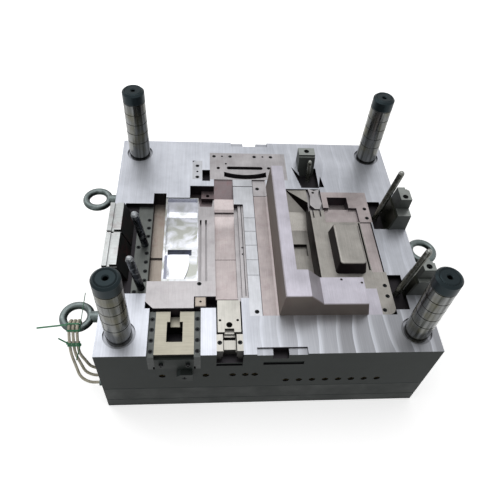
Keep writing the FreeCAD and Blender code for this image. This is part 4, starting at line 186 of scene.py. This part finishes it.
def ground_plate_steel(looks):
    """Tool steel plate, surface ground on top and blackened outside, the near-black sides partly
    oxide and partly painted shade: passes of the wheel leave bands along Y, brightest where they
    meet, and the pockets are painted dark, partly oil and partly painted shade."""
    material, tree, place = blank("ground_plate_steel")
    axes = add(tree, "ShaderNodeSeparateXYZ", {0: place})
    across, along, height = axes.outputs
    patches = add(tree, "ShaderNodeTexNoise", {
        "Vector": place, "Scale": 1 / looks.cloud, "Detail": 6.0, "Roughness": 0.62}).outputs[0]
    wander = add(tree, "ShaderNodeTexNoise", {
        "Vector": place, "Scale": 5.0, "Detail": 1.0}).outputs[0]
    step = add(tree, "ShaderNodeMath", {0: across, 1: 1 / looks.grinding_pass},
               operation="MULTIPLY").outputs[0]
    step = add(tree, "ShaderNodeMath", {0: step, 1: wander}, operation="ADD").outputs[0]
    within = add(tree, "ShaderNodeMath", {0: step}, operation="FRACT").outputs[0]
    number = add(tree, "ShaderNodeMath", {0: step}, operation="FLOOR").outputs[0]
    pass_tone = add(tree, "ShaderNodeTexWhiteNoise", {"W": number},
                    noise_dimensions="1D").outputs["Value"]
    meeting = add(tree, "ShaderNodeMapRange", {
        "Value": within, "From Min": 0.0, "From Max": 0.3, "To Min": 1.0, "To Max": 0.0}).outputs[0]
    band = add(tree, "ShaderNodeMath", {0: meeting, 1: 0.62}, operation="MULTIPLY").outputs[0]
    band = add(tree, "ShaderNodeMath", {0: band, 1: add(tree, "ShaderNodeMath", {
        0: pass_tone, 1: 0.28}, operation="MULTIPLY").outputs[0]}, operation="ADD").outputs[0]
    # the bands show at the front, and the back has been wiped
    front = add(tree, "ShaderNodeMapRange", {
        "Value": along, "From Min": -0.1, "From Max": -0.36, "To Min": 0.25,
        "To Max": 1.0}).outputs[0]
    right = add(tree, "ShaderNodeMapRange", {
        "Value": across, "From Min": -0.12, "From Max": 0.16, "To Min": 0.1,
        "To Max": 1.0}).outputs[0]
    zone = add(tree, "ShaderNodeMath", {0: front, 1: right}, operation="MULTIPLY").outputs[0]
    wiped = add(tree, "ShaderNodeMapRange", {
        "Value": patches, "From Min": 0.3, "From Max": 0.68}).outputs[0]
    top = add(tree, "ShaderNodeMix", {
        0: wiped, 6: looks.ground, 7: looks.ground_bright}, data_type="RGBA").outputs[2]
    banded = add(tree, "ShaderNodeMix", {
        0: band, 6: looks.ground_dull, 7: looks.ground_bright}, data_type="RGBA").outputs[2]
    top = add(tree, "ShaderNodeMix", {0: zone, 6: top, 7: banded}, data_type="RGBA").outputs[2]
    run = add(tree, "ShaderNodeMapping", {"Vector": place, "Scale": (420, 7, 420)}).outputs[0]
    # grinding scratches are 0.2 mm apart, drawn about 2 mm apart so that they show
    marks = add(tree, "ShaderNodeTexNoise", {"Vector": run, "Scale": 1.0, "Detail": 3.0}).outputs[0]
    top = add(tree, "ShaderNodeHueSaturation", {"Color": top, "Value": add(
        tree, "ShaderNodeMapRange", {"Value": marks, "From Min": 0.3, "From Max": 0.7,
                                     "To Min": 0.92, "To Max": 1.07}).outputs[0]}).outputs[0]
    level = level_share(tree)
    # the floors and walls of the pockets are painted dark, partly their oil and partly painted
    # shade, so only the parting face is bright
    shallow = add(tree, "ShaderNodeMapRange", {
        "Value": height, "From Min": PARTING - OIL_AND_SHADE_WHOLLY,
        "From Max": PARTING - OIL_AND_SHADE_FROM}).outputs[0]
    bright = add(tree, "ShaderNodeMath", {0: level, 1: shallow}, operation="MULTIPLY").outputs[0]
    # painted shade, partly: walls and deeper floors take the dark pocket colour
    colour = add(tree, "ShaderNodeMix", {
        0: bright, 6: looks.pocket_oil_and_shade, 7: top}, data_type="RGBA").outputs[2]
    # outer sides: one of these is 1 beyond the plate's own ends, the other beyond its long sides
    outside = add(tree, "ShaderNodeMath", {
        0: add(tree, "ShaderNodeMath", {0: add(tree, "ShaderNodeMath", {0: across},
               operation="ABSOLUTE").outputs[0], 1: PLATE_HIGH.x - EDGE_REACH},
               operation="GREATER_THAN").outputs[0],
        1: add(tree, "ShaderNodeMath", {0: add(tree, "ShaderNodeMath", {0: along},
               operation="ABSOLUTE").outputs[0], 1: PLATE_HIGH.y - LONG_SIDE_STEP},
               operation="GREATER_THAN").outputs[0]}, operation="MAXIMUM").outputs[0]
    flat_part = add(tree, "ShaderNodeMath", {0: 1.0, 1: level}, operation="SUBTRACT").outputs[0]
    outside = add(tree, "ShaderNodeMath", {
        0: outside, 1: flat_part}, operation="MULTIPLY").outputs[0]
    film = add(tree, "ShaderNodeMapRange", {"Value": patches, "From Min": 0.35, "From Max": 0.8,
                                            "To Max": 0.3}).outputs[0]
    rubbed = add(tree, "ShaderNodeMix", {
        0: film, 6: looks.side, 7: looks.wear_and_highlight}, data_type="RGBA").outputs[2]
    # partly painted shade: the outer sides take the near-black oxide colour
    colour = add(tree, "ShaderNodeMix", {
        0: outside, 6: colour, 7: rubbed}, data_type="RGBA").outputs[2]
    roughness = add(tree, "ShaderNodeMapRange", {
        "Value": outside, "To Min": 0.4, "To Max": 0.6}).outputs[0]
    metal = add(tree, "ShaderNodeMapRange", {
        "Value": outside, "To Min": 0.85, "To Max": 0.0}).outputs[0]
    close(tree, "ShaderNodeBsdfPrincipled", {
        "Base Color": colour, "Metallic": metal, "Roughness": roughness,
        "Specular IOR Level": 0.25}, marks, 0.00012, 0.3)
    return material


def blackened_and_shaded_plate_steel(looks):
    """Mild steel plate, milled and blackened: nearly black with a green cast, partly oxide and
    partly painted shade, with a painted highlight along the bevel where the plates meet, and rubbed
    pale where slings and forks have dragged."""
    material, tree, place = blank("blackened_and_shaded_plate_steel")
    facing = add(tree, "ShaderNodeSeparateXYZ", {
        0: add(tree, "ShaderNodeNewGeometry").outputs["Normal"]}).outputs["Z"]
    # painted highlight: the sloped bevel faces get the paler colour
    bevel_highlight = add(tree, "ShaderNodeMath", {
        0: facing, 1: 0.7, 2: 0.12}, operation="COMPARE").outputs[0]
    run = add(tree, "ShaderNodeMapping", {"Vector": place, "Scale": (9, 9, 260)}).outputs[0]
    drags = add(tree, "ShaderNodeTexNoise", {"Vector": run, "Scale": 1.0, "Detail": 4.0}).outputs[0]
    patches = add(tree, "ShaderNodeTexNoise", {
        "Vector": place, "Scale": 14.0, "Detail": 5.0}).outputs[0]
    rub = add(tree, "ShaderNodeMapRange", {
        "Value": drags, "From Min": 0.55, "From Max": 0.8, "To Max": 0.45}).outputs[0]
    share = add(tree, "ShaderNodeMath", {0: bevel_highlight, 1: rub}, operation="MAXIMUM").outputs[0]
    colour = add(tree, "ShaderNodeMix", {
        0: share, 6: looks.side, 7: looks.wear_and_highlight}, data_type="RGBA").outputs[2]
    roughness = add(tree, "ShaderNodeMapRange", {
        "Value": patches, "From Min": 0.3, "From Max": 0.7, "To Min": 0.5,
        "To Max": 0.65}).outputs[0]
    close(tree, "ShaderNodeBsdfPrincipled", {
        "Base Color": colour, "Roughness": roughness, "Specular IOR Level": 0.3}, drags,
        0.0002, 0.25)
    return material


def polished_steel(name, colour, haze, rough=0.09):
    """Mould steel, stoned and lapped to a mirror: it shows the room, with a faint haze where
    cloths have wiped it."""
    material, tree, place = blank(name)
    wipes = add(tree, "ShaderNodeTexNoise", {
        "Vector": place, "Scale": 16.0, "Detail": 3.0, "Distortion": 0.8}).outputs[0]
    share = add(tree, "ShaderNodeMapRange", {
        "Value": wipes, "From Min": 0.3, "From Max": 0.6}).outputs[0]
    level = level_share(tree, 0.2, 0.9)
    share = add(tree, "ShaderNodeMath", {0: share, 1: level}, operation="MULTIPLY").outputs[0]
    roughness = add(tree, "ShaderNodeMapRange", {"Value": wipes, "To Min": rough,
                                                 "To Max": rough + 0.14}).outputs[0]
    wiped = add(tree, "ShaderNodeMix", {
        0: share, 6: colour, 7: haze}, data_type="RGBA").outputs[2]
    close(tree, "ShaderNodeBsdfPrincipled", {
        "Base Color": wiped, "Metallic": 1.0, "Roughness": roughness}, wipes, 0.0004, 0.15)
    return material


def pillar_steel(looks):
    """Case hardened bearing steel, ground: a bright shaft under yellow oil with long vertical
    streaks of painted reflection, light and dark, and a blued nose."""
    material, tree, place = blank("ground_pillar_steel")
    height = add(tree, "ShaderNodeSeparateXYZ", {0: place}).outputs[2]
    nose = add(tree, "ShaderNodeMapRange", {
        "Value": height, "From Min": PARTING + NOSE_FROM,
        "From Max": PARTING + NOSE_WHOLLY}).outputs[0]
    run = add(tree, "ShaderNodeMapping", {"Vector": place, "Scale": (75, 75, 3)}).outputs[0]
    streaks = add(tree, "ShaderNodeTexNoise", {
        "Vector": run, "Scale": 1.0, "Detail": 3.0}).outputs[0]
    drips = add(tree, "ShaderNodeTexNoise", {
        "Vector": place, "Scale": 22.0, "Detail": 4.0}).outputs[0]
    # painted reflections: light and dark streaks run up the shaft
    reflection_streaks = add(tree, "ShaderNodeMapRange", {
        "Value": streaks, "From Min": 0.38, "From Max": 0.62}).outputs[0]
    shaft = add(tree, "ShaderNodeMix", {
        0: reflection_streaks, 6: looks.nose, 7: looks.bright}, data_type="RGBA").outputs[2]
    shaft = add(tree, "ShaderNodeMix", {
        0: 0.78, 6: shaft, 7: looks.pillar}, data_type="RGBA").outputs[2]
    oily = add(tree, "ShaderNodeMapRange", {
        "Value": drips, "From Min": 0.45, "From Max": 0.7, "To Max": 0.55}).outputs[0]
    shaft = add(tree, "ShaderNodeMix", {
        0: oily, 6: shaft, 7: looks.pillar_oil}, data_type="RGBA").outputs[2]
    colour = add(tree, "ShaderNodeMix", {
        0: nose, 6: shaft, 7: looks.nose}, data_type="RGBA").outputs[2]
    roughness = add(tree, "ShaderNodeMapRange", {
        "Value": nose, "To Min": 0.2, "To Max": 0.42}).outputs[0]
    close(tree, "ShaderNodeBsdfPrincipled", {
        "Base Color": colour, "Metallic": 0.95, "Roughness": roughness}, streaks, 0.0001, 0.2)
    return material


def blued_steel(name, base, wear_and_highlight, rough=0.38, share=0.35):
    """Forged or turned steel, oil blued: dark with worn, paler patches, and a painted highlight on
    faces that look up.
    """
    material, tree, place = blank(name)
    wear = add(tree, "ShaderNodeTexNoise", {
        "Vector": place, "Scale": 60.0, "Detail": 5.0, "Roughness": 0.65}).outputs[0]
    rub = add(tree, "ShaderNodeMapRange", {
        "Value": wear, "From Min": 0.5, "From Max": 0.75, "To Max": share}).outputs[0]
    level = level_share(tree, 0.2, 1.0)
    # painted highlight: faces that look up get more of the paler colour
    rub = add(tree, "ShaderNodeMath", {0: rub, 1: add(tree, "ShaderNodeMath", {
        0: level, 1: share}, operation="MULTIPLY").outputs[0]}, operation="ADD").outputs[0]
    colour = add(tree, "ShaderNodeMix", {
        0: rub, 6: base, 7: wear_and_highlight}, data_type="RGBA").outputs[2]
    close(tree, "ShaderNodeBsdfPrincipled", {
        "Base Color": colour, "Metallic": 0.8,
        "Roughness": add(tree, "ShaderNodeMapRange", {
            "Value": wear, "To Min": rough - 0.08, "To Max": rough + 0.14}).outputs[0]},
        wear, 0.0003, 0.3)
    return material


def turned_brass(looks):
    """Brass, turned and left to tarnish: dull yellow brown."""
    material, tree, place = blank("tarnished_brass")
    film = add(tree, "ShaderNodeTexNoise", {
        "Vector": place, "Scale": 180.0, "Detail": 4.0}).outputs[0]
    colour = add(tree, "ShaderNodeMix", {
        0: film, 6: looks.brass, 7: looks.screw}, data_type="RGBA").outputs[2]
    close(tree, "ShaderNodeBsdfPrincipled", {
        "Base Color": colour, "Metallic": 1.0,
        "Roughness": add(tree, "ShaderNodeMapRange", {
            "Value": film, "To Min": 0.3, "To Max": 0.55}).outputs[0]}, film, 0.0001, 0.3)
    return material


def braided_sheath(looks):
    """Glass fibre braid on heater leads: cream, with a fine diamond weave and oil stains."""
    material, tree, place = blank("glass_fibre_braid")
    # yarns are 0.8 mm apart, drawn 2.5 mm apart so that they show
    first = add(tree, "ShaderNodeTexWave", {"Vector": add(tree, "ShaderNodeMapping", {
        "Vector": place, "Rotation": (0.6, 0.7, 0.3)}).outputs[0], "Scale": 64.0,
        "Distortion": 0.4}).outputs["Fac"]
    second = add(tree, "ShaderNodeTexWave", {"Vector": add(tree, "ShaderNodeMapping", {
        "Vector": place, "Rotation": (-0.6, -0.7, -0.3)}).outputs[0], "Scale": 64.0,
        "Distortion": 0.4}).outputs["Fac"]
    weave = add(tree, "ShaderNodeMath", {0: first, 1: second}, operation="MULTIPLY").outputs[0]
    soil = add(tree, "ShaderNodeTexNoise", {
        "Vector": place, "Scale": 45.0, "Detail": 4.0}).outputs[0]
    raised = add(tree, "ShaderNodeMapRange", {
        "Value": weave, "To Min": 0.0, "To Max": 0.35}).outputs[0]
    colour = add(tree, "ShaderNodeMix", {
        0: raised, 6: looks.cable, 7: looks.bright}, data_type="RGBA").outputs[2]
    colour = add(tree, "ShaderNodeHueSaturation", {"Color": colour, "Value": add(
        tree, "ShaderNodeMapRange", {"Value": soil, "From Min": 0.35, "From Max": 0.7,
                                     "To Min": 1.0, "To Max": 0.62}).outputs[0]}).outputs[0]
    close(tree, "ShaderNodeBsdfPrincipled", {"Base Color": colour, "Roughness": 0.72},
          weave, 0.0004, 0.5)
    return material


def moulded_nylon(name, base, rough=0.42):
    """Nylon, moulded: an even colour with a soft sheen and slight flow lines."""
    material, tree, place = blank(name)
    flow = add(tree, "ShaderNodeTexNoise", {
        "Vector": place, "Scale": 90.0, "Detail": 3.0}).outputs[0]
    colour = add(tree, "ShaderNodeHueSaturation", {"Color": base, "Value": add(
        tree, "ShaderNodeMapRange", {"Value": flow, "To Min": 0.85, "To Max": 1.15}).outputs[0]})
    close(tree, "ShaderNodeBsdfPrincipled", {
        "Base Color": colour.outputs[0], "Roughness": rough}, flow, 0.0001, 0.2)
    return material


def finish_nodes(material, *names):
    """Gives a finish to nodes of the frame."""
    for name in names:
        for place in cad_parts[name].material_slots:
            place.material = material


def looks_of(kind):
    return getattr(bpy.context.scene, kind)


class MOULD_OT_plates(bpy.types.Operator):
    """Cavity plate, manifold plate and clamp plate"""
    bl_idname = "mould.plates"
    bl_label = "Plates"

    def execute(self, context):
        looks = looks_of("mould_plates")
        finish_nodes(ground_plate_steel(looks), "cavity_plate")
        finish_nodes(blackened_and_shaded_plate_steel(looks), "clamp_plate", "manifold_plate",
                     "large_slide_plate", "slide_latch")
        return {"FINISHED"}


class MOULD_OT_pillars(bpy.types.Operator):
    """Four guide pillars"""
    bl_idname = "mould.pillars"
    bl_label = "Guide pillars"

    def execute(self, context):
        finish_nodes(pillar_steel(looks_of("mould_fittings")),
                     "guide_pillar_front_left", "guide_pillar_front_right",
                     "guide_pillar_back_left", "guide_pillar_back_right")
        return {"FINISHED"}


class MOULD_OT_eye_bolts(bpy.types.Operator):
    """Lifting eyes and cable glands"""
    bl_idname = "mould.eye_bolts"
    bl_label = "Eye bolts and glands"

    def execute(self, context):
        looks = looks_of("mould_fittings")
        finish_nodes(blued_steel("forged_blued_steel", tone("24302C"), tone("8E9898"), 0.34, 0.5),
                     "eye_bolts", "cable_glands")
        return {"FINISHED"}


class MOULD_OT_heel_blocks(bpy.types.Operator):
    """Heel blocks and wear plates"""
    bl_idname = "mould.heel_blocks"
    bl_label = "Heel blocks"

    def execute(self, context):
        looks = looks_of("mould_inserts")
        # painted shade: near-black walls on the heel blocks' inner faces, greyer on the right ones
        finish_nodes(machined_steel("ground_heel_steel_left", tone("B4B7B7"), tone("131514"),
                                    0.09, (14, 300, 300), 0.32, looks.paste, 0.5),
                     "heel_block_left_front", "heel_block_left_back")
        finish_nodes(machined_steel("ground_heel_steel_right", tone("8A8E8B"), tone("424543"),
                                    0.09, (14, 300, 300), 0.34),
                     "heel_block_right_front", "heel_block_right_back", "heel_block_back")
        finish_nodes(blued_steel("blued_wear_plate", tone("1D1F17"), tone("3F4038"), 0.34, 0.2),
                     "wear_plates")
        return {"FINISHED"}


class MOULD_OT_angle_pins(bpy.types.Operator):
    """Angle pins that drive the slides"""
    bl_idname = "mould.angle_pins"
    bl_label = "Angle pins"

    def execute(self, context):
        looks = looks_of("mould_fittings")
        # painted highlight: the pale colour lands on the pins' upward sides
        finish_nodes(blued_steel("blued_pin_steel", tone("23272C"), tone("D8DCE0"), 0.24, 0.42),
                     "angle_pins_left")
        finish_nodes(blued_steel("bright_pin_steel", tone("55564F"), tone("C9CBC9"), 0.24, 0.35),
                     "angle_pins_right", "angle_pin_back")
        return {"FINISHED"}


class MOULD_OT_inserts(bpy.types.Operator):
    """Core bar and the inserts of the moulding"""
    bl_idname = "mould.inserts"
    bl_label = "Inserts"

    def execute(self, context):
        looks = looks_of("mould_inserts")
        paste = looks.paste
        # painted shade: each row's second colour goes on the walls
        for name, lit_flat, wall_painted_shade, cloud, share, nodes in (
                ("ground_insert_steel", looks.pale, looks.wall_painted_shade, looks.cloud, 0.1,
                 ("side_strip", "ribbed_insert", "end_pad", "slotted_back_insert", "star_core",
                  "front_lock_plate")),
                ("bright_insert_steel", tone("B9BBC0"), looks.wall_painted_shade, 0.09, 0.05,
                 ("parting_strip", "back_gib")),
                ("pasted_insert_steel", looks.pink, looks.wall_painted_shade, looks.cloud, 0.18,
                 ("shutoff_strip", "panel_insert_front", "panel_insert_back", "right_strip",
                  "right_back_insert")),
                # painted shade: very dark walls where the ridges and the trench fall in shade
                ("oiled_and_shaded_insert_steel", tone("9A9792"), tone("231E20"), looks.cloud, 0.1,
                 ("ridge_insert", "trench_insert", "boss_insert", "right_front_insert")),
                # painted shade, partly: the darker flat colour stands for the shade on front-facing
                # slopes, with red paste in spots
                ("stained_and_shaded_insert_steel", tone("6E6466"), tone("3A3034"), looks.cloud, 0.4,
                 ("sloping_insert", "stepped_insert")),
                ("dry_insert_steel", looks.tan, looks.wall_painted_shade, looks.cloud, 0.3,
                 ("left_trough_insert", "lock_pad"))):
            finish_nodes(machined_steel(name, lit_flat, wall_painted_shade, cloud, stain=paste, stain_share=share),
                         *nodes)
        # painted shade: darker colour on the bar's walls and front face
        finish_nodes(machined_steel("ground_bar_steel", tone("B4B1BB"), tone("6E6660"), 0.12,
                                    (500, 12, 500), 0.34, paste, 0.1), "core_bar")
        return {"FINISHED"}


class MOULD_OT_polished_cavity(bpy.types.Operator):
    """Mirror polished cavity and block"""
    bl_idname = "mould.polished_cavity"
    bl_label = "Polished cavity"

    def execute(self, context):
        looks = looks_of("mould_inserts")
        finish_nodes(polished_steel("mirror_cavity_steel", looks.mirror, tone("8D8F8A")),
                     "polished_insert")
        finish_nodes(polished_steel("mirror_block_steel", looks.mirror, tone("C9CBD2"), 0.12),
                     "polished_block")
        return {"FINISHED"}


class MOULD_OT_slides(bpy.types.Operator):
    """Slides and the gibs that guide them"""
    bl_idname = "mould.slides"
    bl_label = "Slides and gibs"

    def execute(self, context):
        looks = looks_of("mould_inserts")
        # painted shade: dark colours on the walls of the slides and the gib strip
        finish_nodes(machined_steel("dull_bronze", looks.slide, tone("2E2D2A"), 0.08,
                                    (14, 400, 400), 0.42), "large_slide")
        finish_nodes(machined_steel("pale_bronze", tone("B4B2AC"), tone("3A3937"), 0.08,
                                    (400, 14, 400), 0.4), "small_slide", "small_slide_gibs")
        finish_nodes(blued_steel("blued_gib_steel", tone("2E3130"), tone("6A6D6C"), 0.35, 0.3),
                     "large_slide_gibs", "slide_stop_pin")
        finish_nodes(machined_steel("oiled_gib_steel", tone("5A5D5B"), tone("2A2C2B"), 0.05),
                     "left_gib_strip")
        return {"FINISHED"}


class MOULD_OT_screws(bpy.types.Operator):
    """Socket screws"""
    bl_idname = "mould.screws"
    bl_label = "Screws"

    def execute(self, context):
        looks = looks_of("mould_fittings")
        finish_nodes(blued_steel("black_oxide_steel", looks.screw, tone("3C3E40"), 0.4, 0.2),
                     "insert_screws", "plate_screws", "heel_screws", "slide_plate_screws")
        return {"FINISHED"}


class MOULD_OT_water_plugs(bpy.types.Operator):
    """Plugs in the water ports"""
    bl_idname = "mould.water_plugs"
    bl_label = "Water plugs"

    def execute(self, context):
        finish_nodes(turned_brass(looks_of("mould_fittings")), "water_port_plugs")
        return {"FINISHED"}


class MOULD_OT_hot_runner(bpy.types.Operator):
    """Heated manifold, nozzles and sprue bushing"""
    bl_idname = "mould.hot_runner"
    bl_label = "Hot runner"

    def execute(self, context):
        # painted shade: a slightly darker colour on the walls
        finish_nodes(machined_steel("heat_tinted_steel", tone("8A8478"), tone("6E675C"), 0.05,
                                    (300, 300, 14), 0.35),
                     "hot_runner_manifold", "hot_runner_nozzles", "sprue_bushing")
        return {"FINISHED"}


class MOULD_OT_heater_cables(bpy.types.Operator):
    """Heater cables and their ties"""
    bl_idname = "mould.heater_cables"
    bl_label = "Heater cables"

    def execute(self, context):
        looks = looks_of("mould_fittings")
        finish_nodes(braided_sheath(looks), "heater_cables")
        finish_nodes(moulded_nylon("green_nylon", looks.tie), "cable_ties")
        return {"FINISHED"}


class MOULD_OT_stage(bpy.types.Operator):
    """Floor, light and camera"""
    bl_idname = "mould.stage"
    bl_label = "Stage"

    def execute(self, context):
        scene = context.scene
        scene.view_settings.view_transform = "Standard"
        bpy.ops.object.select_all(action="DESELECT")
        bpy.ops.mesh.primitive_plane_add(size=FLOOR_SIZE, location=(0, 0, -0.0005))
        floor = context.object
        floor.name = "floor"
        bpy.ops.object.transform_apply(location=True, rotation=True, scale=True)
        material, tree, place = blank("pale_floor_paint")
        seen = add(tree, "ShaderNodeLightPath").outputs
        either = add(tree, "ShaderNodeMath", {0: seen["Is Camera Ray"], 1: seen["Is Glossy Ray"]},
                     operation="MAXIMUM").outputs[0]
        paint = add(tree, "ShaderNodeBsdfDiffuse", {"Color": looks_of("mould_fittings").floor})
        glow = add(tree, "ShaderNodeEmission", {"Strength": 1.0, "Color": (0.55, 0.55, 0.55, 1)})
        both = add(tree, "ShaderNodeAddShader", {0: paint.outputs[0], 1: glow.outputs[0]})
        shown = add(tree, "ShaderNodeMixShader", {
            0: either, 1: paint.outputs[0], 2: both.outputs[0]})
        add(tree, "ShaderNodeOutputMaterial", {"Surface": shown.outputs[0]})
        floor.data.materials.append(material)

        world = bpy.data.worlds.new("pale_room")
        scene.world = world
        world.use_nodes = True
        tree = world.node_tree
        tree.nodes.clear()
        seen = add(tree, "ShaderNodeLightPath").outputs
        either = add(tree, "ShaderNodeMath", {0: seen["Is Camera Ray"], 1: seen["Is Glossy Ray"]},
                     operation="MAXIMUM").outputs[0]
        either = add(tree, "ShaderNodeMath", {0: either, 1: seen["Is Transmission Ray"]},
                     operation="MAXIMUM").outputs[0]
        strength = add(tree, "ShaderNodeMapRange", {"Value": either, "To Min": 0.5,
                                                    "To Max": 1.0}).outputs[0]
        room = add(tree, "ShaderNodeBackground", {"Color": (1, 1, 1, 1), "Strength": strength})
        add(tree, "ShaderNodeOutputWorld", {"Surface": room.outputs[0]})

        for name, place, size, power in LAMPS:
            lamp = bpy.data.lights.new(name, "AREA")
            lamp.size, lamp.energy = size, power
            holder = bpy.data.objects.new(name, lamp)
            holder.location = place
            aim = Vector((0, 0, PARTING)) - holder.location
            holder.rotation_euler = aim.to_track_quat("-Z", "Y").to_euler()
            scene.collection.objects.link(holder)

        lens = bpy.data.cameras.new("bench_camera")
        lens.lens, lens.sensor_width = CAMERA_LENS, CAMERA_SENSOR
        camera = bpy.data.objects.new("bench_camera", lens)
        camera.location = CAMERA_PLACE
        camera.rotation_euler = [math.radians(angle) for angle in CAMERA_TURN]
        scene.collection.objects.link(camera)
        scene.camera = camera
        return {"FINISHED"}


OPERATORS = (MOULD_OT_plates, MOULD_OT_pillars, MOULD_OT_eye_bolts, MOULD_OT_heel_blocks,
             MOULD_OT_angle_pins, MOULD_OT_inserts, MOULD_OT_polished_cavity, MOULD_OT_slides,
             MOULD_OT_screws, MOULD_OT_water_plugs, MOULD_OT_hot_runner, MOULD_OT_heater_cables,
             MOULD_OT_stage)
LOOKS = {"mould_plates": MouldPlateLooks, "mould_inserts": MouldInsertLooks,
         "mould_fittings": MouldFittingLooks}


class MOULD_PT_panel(bpy.types.Panel):
    """Sidebar panel that lists the pieces"""
    bl_idname = "MOULD_PT_panel"
    bl_label = "Mould half"
    bl_space_type = "VIEW_3D"
    bl_region_type = "UI"
    bl_category = "Mould"

    def draw(self, context):
        for name, group in LOOKS.items():
            box = self.layout.box()
            box.label(text=group.__doc__)
            for label in group.__annotations__:
                box.prop(getattr(context.scene, name), label)
        for operator in OPERATORS:
            self.layout.operator(operator.bl_idname)


def register():
    for kind in (*LOOKS.values(), *OPERATORS, MOULD_PT_panel):
        bpy.utils.register_class(kind)
    for name, group in LOOKS.items():
        setattr(bpy.types.Scene, name, bpy.props.PointerProperty(type=group))


def unregister():
    for name in LOOKS:
        delattr(bpy.types.Scene, name)
    for kind in reversed((*LOOKS.values(), *OPERATORS, MOULD_PT_panel)):
        bpy.utils.unregister_class(kind)


def main():
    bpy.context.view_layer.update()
    register()
    for operator in OPERATORS:
        group, name = operator.bl_idname.split(".")
        getattr(getattr(bpy.ops, group), name)()


if __name__ == "__main__":
    main()
